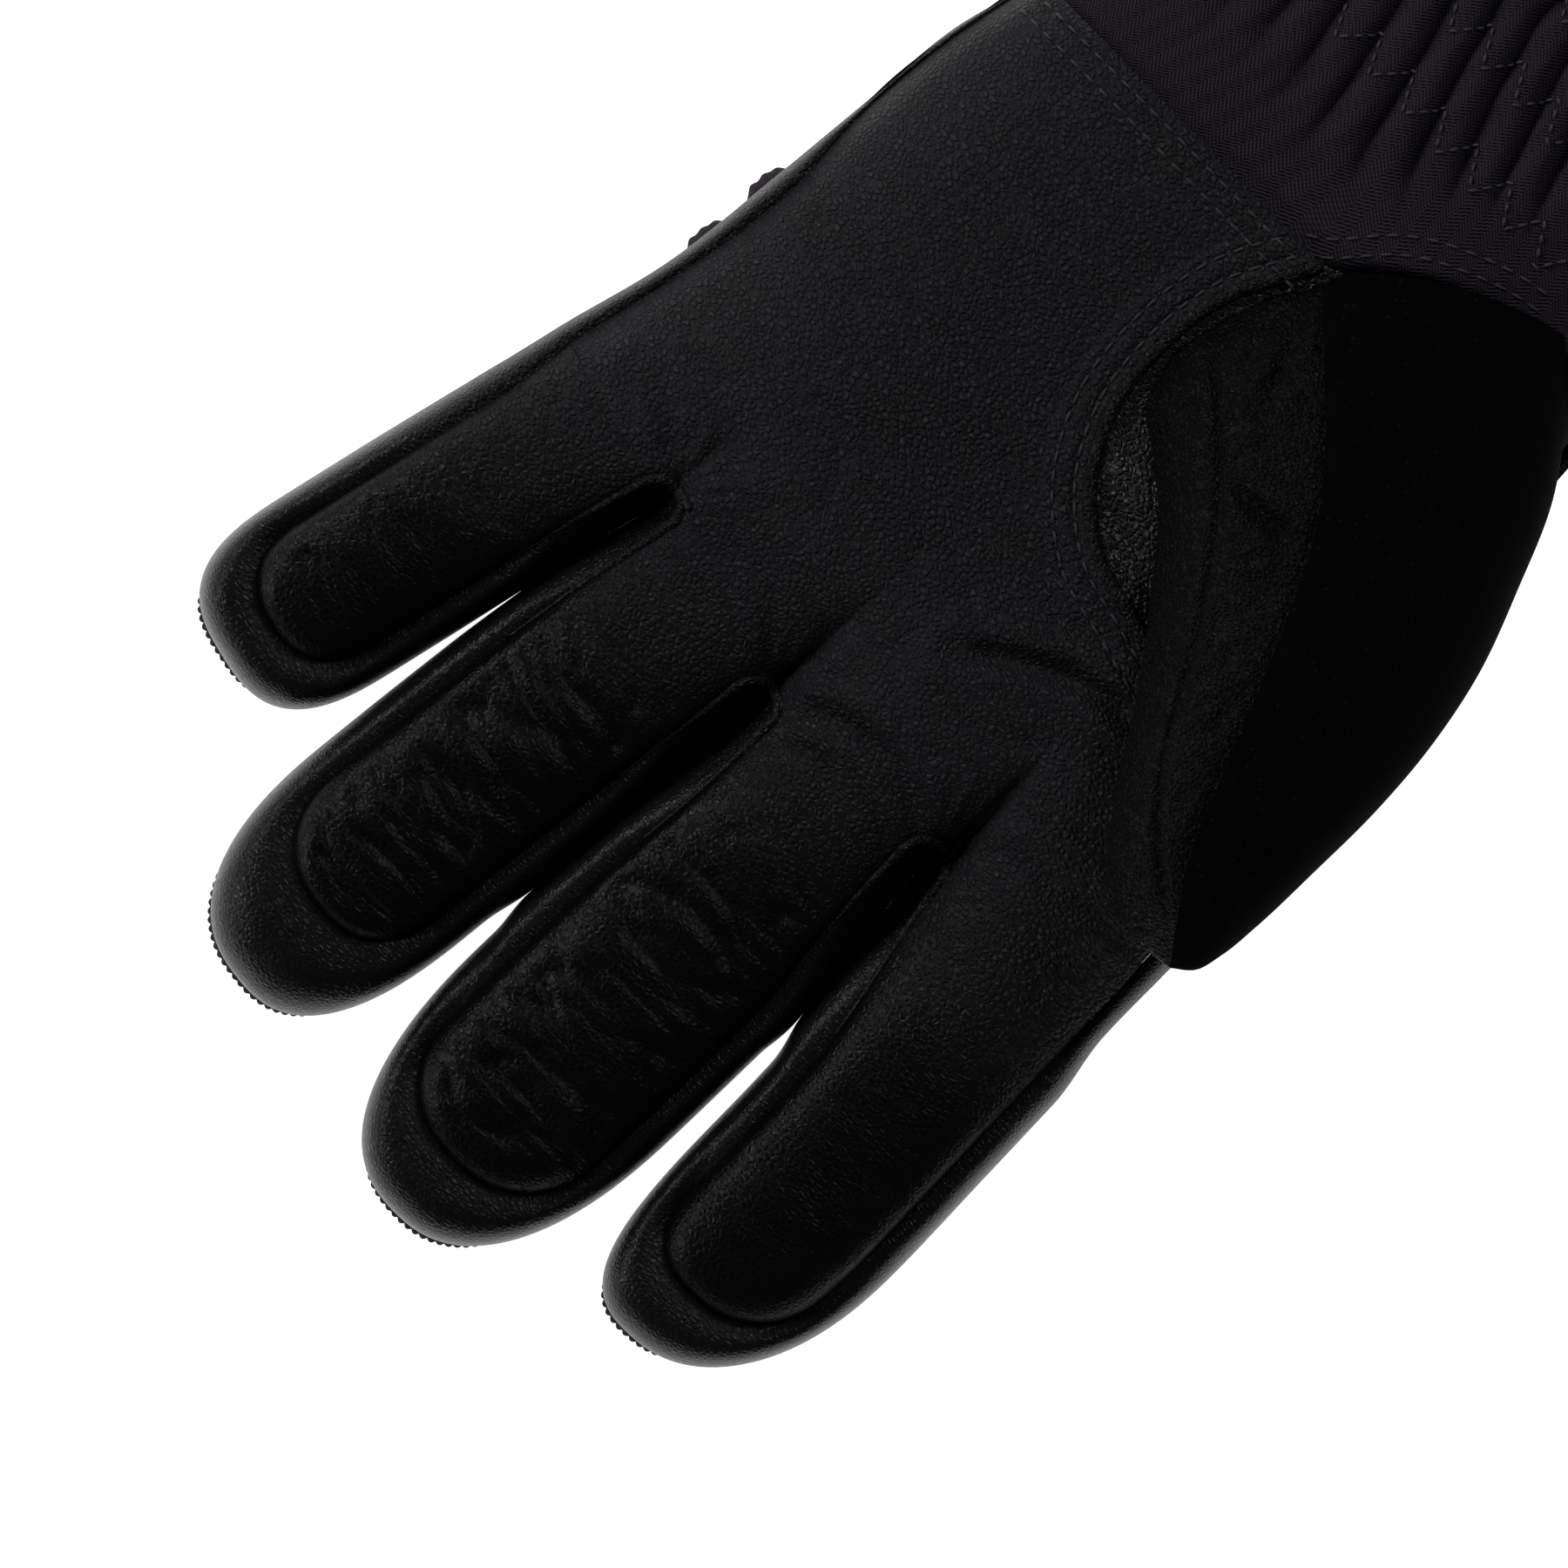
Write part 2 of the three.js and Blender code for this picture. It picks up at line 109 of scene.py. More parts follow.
PALM_RIGHT = ((-62, 43.5), (-30, 52.0), (0, 58.5), (20, 62.0), (36, 63.4), (60, 67))
CROTCHES = ((31.7, -33.8), (40.1, -4.0), (36.8, 28.2))
PARTINGS = ((51.0, -37.1), (89.0, -4.9), (72.0, 34.3))
WELT = 3.4
THUMB_YAW = math.radians(27.5)


# ---------------------------------------------------------------- lines and heights


def ease(low, high, x):
    """0 below low, 1 above high, and a smooth S between."""
    t = np.clip((np.asarray(x, float) - low) / (high - low), 0, 1)
    return t * t * (3 - 2 * t)


def through(points, count, at=None):
    """A smooth line through points: cubic pieces whose slope at a point is that of its neighbours' chord.
    It comes back as count points evenly spaced along its length, or at the shares of its length in at."""
    p = np.asarray(points, float)
    t = np.concatenate([[0], np.cumsum(np.linalg.norm(np.diff(p, axis=0), axis=1))])
    slope = np.gradient(p, t, axis=0) if len(p) > 2 else np.repeat((p[1:] - p[:1]) / t[-1], 2, axis=0)
    fine = np.linspace(0, t[-1], 600)
    i = np.clip(np.searchsorted(t, fine, side="right") - 1, 0, len(t) - 2)
    h = (t[i + 1] - t[i])[:, None]
    s = ((fine - t[i])[:, None]) / h
    line = (
        (2 * s**3 - 3 * s**2 + 1) * p[i]
        + (s**3 - 2 * s**2 + s) * h * slope[i]
        + (3 * s**2 - 2 * s**3) * p[i + 1]
        + (s**3 - s**2) * h * slope[i + 1]
    )
    return respace(line, count, at)


def respace(line, count, at=None):
    """The same line as count points evenly spaced along its length, or at the shares of its length in at."""
    run = np.concatenate([[0], np.cumsum(np.linalg.norm(np.diff(line, axis=0), axis=1))])
    want = (np.linspace(0, 1, count) if at is None else np.asarray(at)) * run[-1]
    return np.stack([np.interp(want, run, line[:, k]) for k in range(line.shape[1])], axis=1)


def along(x, knots):
    """The value at x of a smooth curve through (x, value) knots."""
    k = np.asarray(knots, float)
    slope = np.gradient(k[:, 1], k[:, 0])
    x = np.clip(np.asarray(x, float), k[0, 0], k[-1, 0])
    i = np.clip(np.searchsorted(k[:, 0], x, side="right") - 1, 0, len(k) - 2)
    h = k[i + 1, 0] - k[i, 0]
    s = (x - k[i, 0]) / h
    return (
        (2 * s**3 - 3 * s**2 + 1) * k[i, 1]
        + (s**3 - 2 * s**2 + s) * h * slope[i]
        + (3 * s**2 - 2 * s**3) * k[i + 1, 1]
        + (s**3 - s**2) * h * slope[i + 1]
    )


def from_line(x, y, line):
    """The distance of each point (x, y) from a line of straight pieces, the least over the pieces."""
    a, b = line[:-1], line[1:]
    d = b - a
    flat = np.stack([np.ravel(x), np.ravel(y)], axis=1)
    best = np.full(len(flat), 1e9)
    for k in range(len(a)):
        t = np.clip(((flat - a[k]) @ d[k]) / max(d[k] @ d[k], 1e-12), 0, 1)
        best = np.minimum(best, np.linalg.norm(flat - a[k] - t[:, None] * d[k], axis=1))
    return best.reshape(np.shape(x))


def mottle(x, y, seed):
    """Smooth random values from 0 to 1: a seeded table of numbers at whole x and y, joined by S curves."""
    table = np.random.default_rng(seed).random((64, 64))
    i, j = np.floor(x).astype(int), np.floor(y).astype(int)
    fx, fy = x - i, y - j
    fx, fy = fx * fx * (3 - 2 * fx), fy * fy * (3 - 2 * fy)
    i0, i1, j0, j1 = i % 64, (i + 1) % 64, j % 64, (j + 1) % 64
    low = table[i0, j0] * (1 - fx) + table[i1, j0] * fx
    high = table[i0, j1] * (1 - fx) + table[i1, j1] * fx
    return low * (1 - fy) + high * fy


def folds(x, y, seed, sharp=3.0):
    """Narrow valleys, from 0 between them to 1 at their bottoms, where a smooth random field crosses its middle."""
    field = mottle(x, y, seed) * 0.7 + mottle(x * 2.1 + 7, y * 2.1 + 3, seed + 1) * 0.3
    return np.clip(1 - np.abs(field - 0.5) * 4, 0, 1) ** sharp


def crease(x, y, points, wide, deep):
    """A pressed line: a valley of that depth and width along the points, with a low swell each side of it."""
    d = from_line(x, y, through(points, 24))
    ends = np.min([np.hypot(x - points[k][0], y - points[k][1]) for k in (0, -1)], axis=0)
    deep = deep * ease(0, 5, ends)
    return -deep * np.exp(-((d / wide) ** 2)) + 0.45 * deep * np.exp(-(((d - 2.2 * wide) / (1.2 * wide)) ** 2))


class Finger:
    """One finger: its place and size, in lengths u from its root hinge and v across it towards the thumb."""

    def __init__(self, name, root, half, turn, nose, blunt, toe, lean, flex_room, knuckle_room):
        joint, tip = JOINTS[name + "_base_flex"], JOINTS[name + "_tip_flex"]
        self.name = name
        self.hinge = np.array(joint["pos_m"]) / MM
        self.knuckle_at = np.array(tip["pos_m"]) / MM
        self.knuckle = float(np.linalg.norm(self.knuckle_at - self.hinge))
        yaw = math.atan2(joint["axis"][0], -joint["axis"][1])
        self.ahead = np.array([math.cos(yaw), math.sin(yaw)])
        self.side = np.array([-math.sin(yaw), math.cos(yaw)])
        self.root, self.half, self.turn, self.nose, self.blunt, self.toe = root, half, turn, nose, blunt, toe
        self.lean = lean
        self.reach = turn + nose
        self.flex_room, self.knuckle_room = flex_room, knuckle_room
        self.inset = 4.0

    def place(self, u, v):
        """Plan position of (u, v)."""
        u, v = np.asarray(u, float), np.asarray(v, float)
        return np.stack(
            [
                self.hinge[0] + u * self.ahead[0] + v * self.side[0],
                self.hinge[1] + u * self.ahead[1] + v * self.side[1],
            ],
            axis=-1,
        )

    def local(self, x, y):
        """(u, v) of a plan position."""
        dx, dy = x - self.hinge[0], y - self.hinge[1]
        return dx * self.ahead[0] + dy * self.ahead[1], dx * self.side[0] + dy * self.side[1]

    def middle(self, u):
        """The finger's centre line, which leans by the cube of the way to its tip."""
        t = np.clip((np.asarray(u, float) - 15) / (self.reach - 15), 0, 1)
        return self.lean[0] + (self.lean[1] - self.lean[0]) * t**3

    def girth(self, u):
        """Half its width along the straight part, easing out from the root."""
        return self.root + (self.half - self.root) * ease(-12, 24, u)

    def spread(self, u, v):
        """0 on the centre line and 1 at the outline: across the width, with the way into the round tip added as a power."""
        across = np.abs(v - self.middle(u)) / self.girth(u)
        into = np.clip((u - self.turn) / self.nose, 0, None)
        return (across**self.blunt + into**self.blunt) ** (1 / self.blunt)

    def swell(self, x, y, height, square=2.5):
        """Height above the core: a rounded section that falls to nothing at the outline."""
        u, v = self.local(x, y)
        rho = self.spread(u, v)
        return height * np.clip(1 - np.clip(rho, 0, 1) ** square, 0, 1) ** (1 / square)


FINGERS = [
    Finger("little", 14.2, 14.6, 33.5, 19.7, 2.9, 8.0, (0.0, 0.0), (-11, 12), (13, 35)),
    Finger("ring", 15.8, 16.85, 46.0, 29.6, 2.5, 15.0, (-0.9, 0.6), (-8, 16), (20, 50)),
    Finger("middle", 16.6, 19.1, 42.0, 36.1, 2.4, 11.0, (0.6, -0.3), (-10, 15), (22, 50)),
    Finger("index", 16.8, 16.5, 30.0, 32.9, 2.5, 10.0, (1.2, -4.1), (-13, 14), (15, 43)),
]


def palm_edges(x):
    """The hand's outline in plan: its little-finger side and its index side at x."""
    return along(x, PALM_LEFT), along(x, PALM_RIGHT)


def body_height(x, y, palm_rise, finger_rise, square):
    """Height above the core: the hand's rounded slab, handing over to the four fingers' rounded sections at their roots."""
    left, right = palm_edges(x)
    rho = np.clip(np.abs(y - (left + right) / 2) / ((right - left) / 2), 0, 1)
    palm = palm_rise * (1 - rho**square) ** (1 / square)
    digits = sum(f.swell(x, y, finger_rise) ** 6 for f in FINGERS) ** (1 / 6)
    share = ease(12, 50, x)
    return palm * (1 - share) + digits * share


def core(x):
    """Height of the widest line of the hand and fingers."""
    return PALM_CORE + (FINGER_CORE - PALM_CORE) * ease(12, 50, x)


def front_height(x, y):
    """The palm side before any crease."""
    low = 1.0 * np.exp(-(((x + 8) / 26) ** 2 + ((y + 6) / 22) ** 2))
    return core(x) + body_height(x, y, 20.0, 13.5, 3.0) - low


def back_height(x, y):
    """The back of the hand, nearly flat where the glove rests."""
    return core(x) - body_height(x, y, PALM_CORE - BACK_REST, FINGER_CORE - BACK_REST, 4.0)


HOLE = through(HOLE_LINE, 160)


def leather_wear(x, y):
    """Creases, wrinkles and soft hollows of the palm leather."""
    z = 0.7 * (mottle(x / 17 + 3, y / 17, 5) - 0.5) + 0.35 * (mottle(x / 7, y / 7 + 9, 6) - 0.5)
    z += crease(x, y, ((17, 9), (13, 14), (8, 22), (4, 34)), 1.5, 1.7)
    z += crease(x, y, ((24, 13), (20, 22), (15, 30)), 1.6, 0.5)
    z += crease(x, y, ((40, 0), (35, 8), (34.5, 16), (37, 26)), 1.4, 1.2)
    z += crease(x, y, ((44, 1), (42, 8), (44, 15)), 1.3, 0.5)
    z += crease(x, y, ((31, -35), (26, -42), (24, -50)), 1.8, 0.5)
    z += crease(x, y, ((38, -5), (33, -12), (32, -22), (33, -30)), 1.8, 0.6)
    z += crease(x, y, ((36, 30), (30, 37), (28, 46)), 1.8, 0.6)
    for cx, cy in CROTCHES:
        away = np.hypot(x - cx, y - cy)
        turn = np.arctan2(y - cy, x - cx)
        ahead = ease(-0.4, 0.6, np.cos(turn))
        z += 0.24 * np.sin(turn * 13 + cx) * np.exp(-(((away - 6.5) / 4.0) ** 2)) * (1 - ahead)
        z += 0.35 * np.exp(-(((away - 3.5) / 3.0) ** 2))
    z -= 0.45 * folds(x / 6.0, y / 15.0, 21) * ease(60, 20, x) * ease(-30, 10, x)
    return z


def finger_wear(finger, u, v):
    """Cross folds of a finger's palm side, closest over the knuckle and quiet at the tip."""
    quiet = ease(-2, 10, u) * (1 - 0.7 * ease(finger.reach - finger.toe - 9, finger.reach - finger.toe, u))
    deep = {"little": 0.40, "ring": 0.95, "middle": 0.80, "index": 0.16}[finger.name]
    seed = int(30 + finger.half * 10)
    z = -deep * folds(u / 5.2, v / 17.0 + 4, seed, 2.4) * quiet
    z -= 0.55 * deep * folds(u / 2.6 + 5, v / 9.0, seed + 5, 2.0) * quiet
    z += 0.5 * deep * (mottle(u / 7.0, v / 12.0, seed + 9) - 0.5) * quiet
    return z


def seam_dip(d, deep, wide):
    """How far leather sinks towards a seam that is d away."""
    return -deep * np.exp(-((d / wide) ** 1.5))


# ---------------------------------------------------------------- meshes


class Skin:
    """Points in mm, four-sided faces, and the place of each point on the cloth or hide laid flat."""

    def __init__(self, points, faces, laid=None):
        self.points, self.faces = points, faces
        self.laid = points.copy() if laid is None else laid
        self.normals = None

    def shade(self):
        """Point normals: the sum of the faces' own normals, each as long as its area."""
        p = self.points[self.faces]
        n = np.cross(p[:, 2] - p[:, 0], p[:, 3] - p[:, 1])
        total = np.zeros_like(self.points)
        for k in range(4):
            np.add.at(total, self.faces[:, k], n)
        self.normals = total / np.maximum(np.linalg.norm(total, axis=1, keepdims=True), 1e-12)
        return self

    def centres(self):
        return self.points[self.faces].mean(axis=1)

    def part(self, chosen):
        """The chosen faces as a skin of their own, with the normals that they had on the whole."""
        used, back = np.unique(self.faces[chosen], return_inverse=True)
        made = Skin(self.points[used], back.reshape(-1, 4), self.laid[used])
        made.normals = self.normals[used]
        return made


def sheet(points, laid=None, flip=False, closed=False):
    """A grid of points, rows by columns, as a skin; closed joins the last column to the first."""
    n, m = points.shape[:2]
    index = np.arange(n * m).reshape(n, m)
    if closed:
        index = np.concatenate([index, index[:, :1]], axis=1)
    quads = np.stack([index[:-1, :-1], index[1:, :-1], index[1:, 1:], index[:-1, 1:]], axis=-1).reshape(-1, 4)
    if flip:
        quads = quads[:, ::-1]
    flat = None if laid is None else laid.reshape(-1, 3)
    return Skin(points.reshape(-1, 3), quads, flat)


def sewn(skins):
    """Several skins as one: points that coincide become one point."""
    points = np.concatenate([s.points for s in skins])
    laid = np.concatenate([s.laid for s in skins])
    start = np.cumsum([0] + [len(s.points) for s in skins])
    faces = np.concatenate([s.faces + start[k] for k, s in enumerate(skins)])
    _, first, back = np.unique(np.round(points / 0.002).astype(np.int64), axis=0, return_index=True, return_inverse=True)
    return Skin(points[first], back.ravel()[faces], laid[first])


def build(name, skin, finish, slot, thick=1.0):
    """A mesh object of the skin and a second layer that far beneath it, closed along its rim.
    Its faces keep the skin's normals, so pieces cut from one skin meet without a line."""
    if skin.normals is None:
        skin.shade()
    n, faces = len(skin.points), skin.faces
    points, laid = skin.points, skin.laid
    layers, turned = [faces], [skin.normals[faces]]
    if thick:
        under = skin.points - skin.normals * thick
        points, laid = np.concatenate([points, under]), np.concatenate([laid, laid])
        layers.append(faces[:, ::-1] + n)
        turned.append(-skin.normals[faces[:, ::-1]])
        edges = np.concatenate([np.stack([faces[:, k], faces[:, (k + 1) % 4]], axis=1) for k in range(4)])
        edges = edges[edges[:, 0] != edges[:, 1]]
        _, back, count = np.unique(np.sort(edges, axis=1), axis=0, return_inverse=True, return_counts=True)
        rim = edges[count[back.ravel()] == 1]
        walls = np.stack([rim[:, 1], rim[:, 0], rim[:, 0] + n, rim[:, 1] + n], axis=1)
        p = points[walls]
        out = np.cross(p[:, 2] - p[:, 0], p[:, 3] - p[:, 1])
        out /= np.maximum(np.linalg.norm(out, axis=1, keepdims=True), 1e-12)
        layers.append(walls)
        turned.append(np.repeat(out[:, None], 4, axis=1))
    quads, normals = np.concatenate(layers), np.concatenate(turned)
    same = np.stack([quads[:, k] == quads[:, (k + 1) % 4] for k in range(4)], axis=1)
    keep = same.sum(axis=1) <= 1
    quads, normals, same = quads[keep], normals[keep], same[keep]
    whole = ~same.any(axis=1)
    bits = [quads[whole].reshape(-1)]
    ways = [normals[whole].reshape(-1, 3)]
    sizes = [np.full(whole.sum(), 4)]
    for k in range(4):
        rows = same[:, k]
        order = [c for c in range(4) if c != k]
        bits.append(quads[rows][:, order].reshape(-1))
        ways.append(normals[rows][:, order].reshape(-1, 3))
        sizes.append(np.full(rows.sum(), 3))
    loops, sizes, ways = np.concatenate(bits), np.concatenate(sizes), np.concatenate(ways)
    mesh = bpy.data.meshes.new(name)
    mesh.vertices.add(len(points))
    mesh.vertices.foreach_set("co", (points * MM).astype(np.float32).ravel())
    mesh.loops.add(len(loops))
    mesh.loops.foreach_set("vertex_index", loops.astype(np.int32))
    mesh.polygons.add(len(sizes))
    mesh.polygons.foreach_set("loop_start", np.concatenate([[0], np.cumsum(sizes)[:-1]]).astype(np.int32))
    mesh.update(calc_edges=True)
    mesh.shade_smooth()
    lay = mesh.attributes.new("lay", "FLOAT_VECTOR", "POINT")
    lay.data.foreach_set("vector", laid.astype(np.float32).ravel())
    mesh.normals_split_custom_set(ways.astype(np.float32))
    mesh.materials.append(finish)
    made = bpy.data.objects.new(name, mesh)
    bpy.context.scene.collection.objects.link(made)
    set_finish(made, slot)
    return made


def tube(line, radius, around=8, ends=True):
    """A round bead along a line of points: at each point a ring square to the line, drawn in to a point at both ends."""
    line = np.asarray(line, float)
    ahead = np.gradient(line, axis=0)
    ahead /= np.linalg.norm(ahead, axis=1, keepdims=True)
    level = np.cross(ahead, np.array([0, 0, 1.0]))
    level /= np.maximum(np.linalg.norm(level, axis=1, keepdims=True), 1e-9)
    up = np.cross(level, ahead)
    r = np.broadcast_to(np.asarray(radius, float), (len(line),)).copy()
    if ends:
        r[[0, -1]] = 0.02
    a = np.linspace(0, 2 * np.pi, around, endpoint=False)
    ring = np.cos(a)[None, :, None] * level[:, None] + np.sin(a)[None, :, None] * up[:, None]
    return sheet(line[:, None] + ring * r[:, None, None], closed=True)


# ---------------------------------------------------------------- finishes


class Value:
    """An output of a material's nodes that Python's arithmetic works on, one Math node for each operation."""

    def __init__(self, finish, socket):
        self.finish, self.socket = finish, socket

    def maths(self, operation, *others):
        return self.finish.node("ShaderNodeMath", {"operation": operation}, dict(enumerate((self, *others))))

    def reflected(self, operation, other):
        return self.finish.node("ShaderNodeMath", {"operation": operation}, {0: other, 1: self})

    def __add__(self, other):
        return self.maths("ADD", other)

    __radd__ = __add__

    def __sub__(self, other):
        return self.maths("SUBTRACT", other)

    def __rsub__(self, other):
        return self.reflected("SUBTRACT", other)

    def __mul__(self, other):
        return self.maths("MULTIPLY", other)

    __rmul__ = __mul__

    def __truediv__(self, other):
        return self.maths("DIVIDE", other)

    def __pow__(self, other):
        return self.maths("POWER", other)


class Finish:
    """One material and the nodes that make it."""

    def __init__(self, name, **uniform):
        self.material = bpy.data.materials.new(name)
        self.material.use_nodes = True
        self.tree = self.material.node_tree
        self.tree.nodes.clear()
        self.shader = self.tree.nodes.new("ShaderNodeBsdfPrincipled")
        output = self.tree.nodes.new("ShaderNodeOutputMaterial")
        self.tree.links.new(self.shader.outputs[0], output.inputs["Surface"])
        for key, value in uniform.items():
            self.shader.inputs[key.replace("_", " ")].default_value = value

    def node(self, kind, settings=None, sockets=None, give=0):
        """A node of that type, its settings made first, then its sockets given values or links; give names its output."""
        made = self.tree.nodes.new(kind)
        for key, value in (settings or {}).items():
            if key == "stops":
                ramp = made.color_ramp
                while len(ramp.elements) < len(value):
                    ramp.elements.new(0.5)
                for element, (place, colour) in zip(ramp.elements, value, strict=True):
                    element.position, element.color = place, colour
            else:
                setattr(made, key, value)
        for key, value in (sockets or {}).items():
            if isinstance(value, Value):
                self.tree.links.new(value.socket, made.inputs[key])
            else:
                made.inputs[key].default_value = value
        return Value(self, made.outputs[give])

    def laid(self, scale=(1, 1, 1)):
        """The place on the laid-flat hide or cloth, in mm, times scale."""
        place = self.node("ShaderNodeAttribute", {"attribute_name": "lay"}, give="Vector")
        return self.node("ShaderNodeVectorMath", {"operation": "MULTIPLY"}, {0: place, 1: scale})

    def noise(self, where, scale, detail=2.0, rough=0.5):
        return self.node(
            "ShaderNodeTexNoise",
            None,
            {"Vector": where, "Scale": scale, "Detail": detail, "Roughness": rough},
        )

    def mix(self, share, low, high):
        """low where share is 0 and high where it is 1, two colours."""
        made = self.tree.nodes.new("ShaderNodeMix")
        made.data_type = "RGBA"
        for key, value in ((0, share), (6, low), (7, high)):
            if isinstance(value, Value):
                self.tree.links.new(value.socket, made.inputs[key])
            else:
                made.inputs[key].default_value = value
        return Value(self, made.outputs[2])

    def set(self, socket, value):
        self.tree.links.new(value.socket, self.shader.inputs[socket])

    def relief(self, height, distance, strength=1.0):
        """Bump of that height, where 1 stands distance mm proud."""
        bump = self.node("ShaderNodeBump", None, {"Strength": strength, "Distance": distance * MM, "Height": height})
        self.set("Normal", bump)


def colour(values, share=1.0):
    """A property's colour as four numbers, darkened or lightened by share."""
    return (values[0] * share, values[1] * share, values[2] * share, 1.0)


def leather_finish(name, tint, fine=1.0, gloss=0.0, shine=0.16, fade=0.25):
    """Pebbled hide: cells about a millimetre across, longer across the hand, with pores, rubbed high spots and drift,
    and painted shade that darkens its colour towards black over the fingers.
    """
    made = Finish(name, Specular_IOR_Level=shine)
    place = made.laid((1.25 * fine, 0.85 * fine, 1.0 * fine))
    warp = made.node("ShaderNodeTexNoise", None, {"Vector": place, "Scale": 0.55, "Detail": 2.0}, "Color")
    bent = made.node("ShaderNodeVectorMath", {"operation": "MULTIPLY_ADD"}, {0: warp, 1: (0.7, 0.7, 0.7), 2: place})
    cells = made.node(
        "ShaderNodeTexVoronoi", {"feature": "DISTANCE_TO_EDGE"}, {"Vector": bent, "Scale": 1.05, "Randomness": 0.95}
    )
    pebble = made.node("ShaderNodeMapRange", {"interpolation_type": "SMOOTHSTEP"}, {0: cells, 2: 0.36})
    pores = made.noise(place, 3.2, 3.0, 0.6)
    drift = made.noise(made.laid((0.035, 0.035, 0.035)), 1.0, 3.0, 0.55)
    rub = made.noise(made.laid((0.16, 0.11, 0.14)), 1.0, 4.0, 0.6)
    tone = made.mix(pebble * 0.55 + drift * 0.45, colour(tint, 0.15), colour(tint, 1.60))
    rubbed = made.mix(rub * 0.5, tone, colour((tint[0] * 1.12, tint[1] * 1.1, tint[2] * 1.3), 1.35))
    ahead = made.tree.nodes.new("ShaderNodeSeparateXYZ")
    made.tree.links.new(made.laid().socket, ahead.inputs[0])
    digit = made.node("ShaderNodeMapRange", {"interpolation_type": "SMOOTHSTEP"}, {0: Value(made, ahead.outputs[0]), 1: 28.0, 2: 66.0})
    # Painted shade: over the fingers the colour is darkened towards black by this leather's share.
    made.set("Base Color", made.mix(digit * fade, rubbed, colour(tint, 0.03)))
    made.set("Roughness", 0.50 - gloss - digit * 0.10 + drift * 0.10 - pebble * 0.08 + pores * 0.04)
    made.relief((pebble * 0.80 + pores * 0.06) * (1.0 - digit * 0.78) + rub * 0.4, 0.36)
    return made.material


def suede_finish(name, tint):
    """Napped split hide: brushed patches and small light flecks of fibre."""
    made = Finish(name, Specular_IOR_Level=0.02)
    place = made.laid()
    nap = made.noise(place, 1.5, 5.0, 0.75)
    brushed = made.noise(made.laid((0.10, 0.16, 0.12)), 1.0, 4.0, 0.6)
    flecks = made.node("ShaderNodeTexVoronoi", {"feature": "F1"}, {"Vector": place, "Scale": 0.55, "Randomness": 1.0})
    bright = made.node("ShaderNodeMapRange", None, {0: flecks, 1: 0.17, 2: 0.05})
    tone = made.mix(brushed * 0.6 + nap * 0.4, colour(tint, 0.0), colour(tint, 2.2))
    made.set("Base Color", made.mix(bright * nap, tone, colour(tint, 9.0)))
    made.set("Roughness", 0.90 + nap * 0.1)
    made.relief(nap * 0.8 + brushed * 0.6, 0.22)
    return made.material


def twill_finish(name, tint, pitch=0.62, herring=1.7):
    """Herringbone cloth: slanted ribs that change their slant every few threads, with slubs, and painted shade that
    darkens it where its folds sink.
    """
    made = Finish(name, Specular_IOR_Level=0.05)
    place = made.laid()
    parts = made.tree.nodes.new("ShaderNodeSeparateXYZ")
    made.tree.links.new(place.socket, parts.inputs[0])
    run, across = Value(made, parts.outputs[0]), Value(made, parts.outputs[1])
    zig = across.maths("PINGPONG", herring)
    rib = ((run + zig * 0.9) * (2 * math.pi / pitch)).maths("SINE") * 0.5 + 0.5
    cross = ((run * 0.4 - across) * (2 * math.pi / (pitch * 0.8))).maths("SINE") * 0.5 + 0.5
    slub = made.noise(made.laid((1.6, 1.6, 1.6)), 1.0, 3.0, 0.65)
    drift = made.noise(made.laid((0.05, 0.05, 0.05)), 1.0, 2.0, 0.5)
    weave = rib * 0.65 + cross * 0.2 + slub * 0.3
    rise = Value(made, parts.outputs[2])
    # Painted shade: the cloth is darkened where its folds sink, read from the fold height kept in its laid place.
    fold_shade = made.node("ShaderNodeMapRange", {"interpolation_type": "SMOOTHSTEP"}, {0: rise, 1: -1.5, 2: 0.3})
    tone = made.mix((weave * 0.80 + drift * 0.20) * (fold_shade * 0.70 + 0.30), colour(tint, 0.0), colour(tint, 3.1))
    made.set("Base Color", tone)
    made.set("Roughness", 0.72 + slub * 0.15)
    made.relief(weave, 0.45)
    return made.material


def rib_finish(name, tint, pitch=1.1):
    """Corded cloth: straight round ribs across the strip with a fine thread wound over each."""
    made = Finish(name, Specular_IOR_Level=0.06)
    place = made.laid()
    parts = made.tree.nodes.new("ShaderNodeSeparateXYZ")
    made.tree.links.new(place.socket, parts.inputs[0])
    run, across = Value(made, parts.outputs[0]), Value(made, parts.outputs[1])
    rib = (run * (math.pi / pitch)).maths("SINE").maths("ABSOLUTE")
    thread = ((across + run * 0.3) * (2 * math.pi / 0.42)).maths("SINE") * 0.5 + 0.5
    slub = made.noise(made.laid((1.2, 1.2, 1.2)), 1.0, 3.0, 0.6)
    weave = rib * 0.7 + thread * 0.15 + slub * 0.25
    made.set("Base Color", made.mix(weave, colour(tint, 0.45), colour(tint, 1.45)))
    made.set("Roughness", 0.75 + slub * 0.15)
    made.relief(weave, 0.25)
    return made.material


def fleece_finish(name, tint):
    """Pile lining: soft lumps with short fibres."""
    made = Finish(name, Specular_IOR_Level=0.1, Sheen_Weight=0.3, Sheen_Roughness=0.5)
    lumps = made.noise(made.laid(), 0.6, 5.0, 0.7)
    fibres = made.noise(made.laid(), 3.0, 3.0, 0.7)
    made.set("Base Color", made.mix(lumps * 0.6 + fibres * 0.4, colour(tint, 0.6), colour(tint, 1.4)))
    made.set("Roughness", 0.88 + lumps * 0.1)
    made.relief(lumps * 0.7 + fibres * 0.4, 0.6)
    return made.material


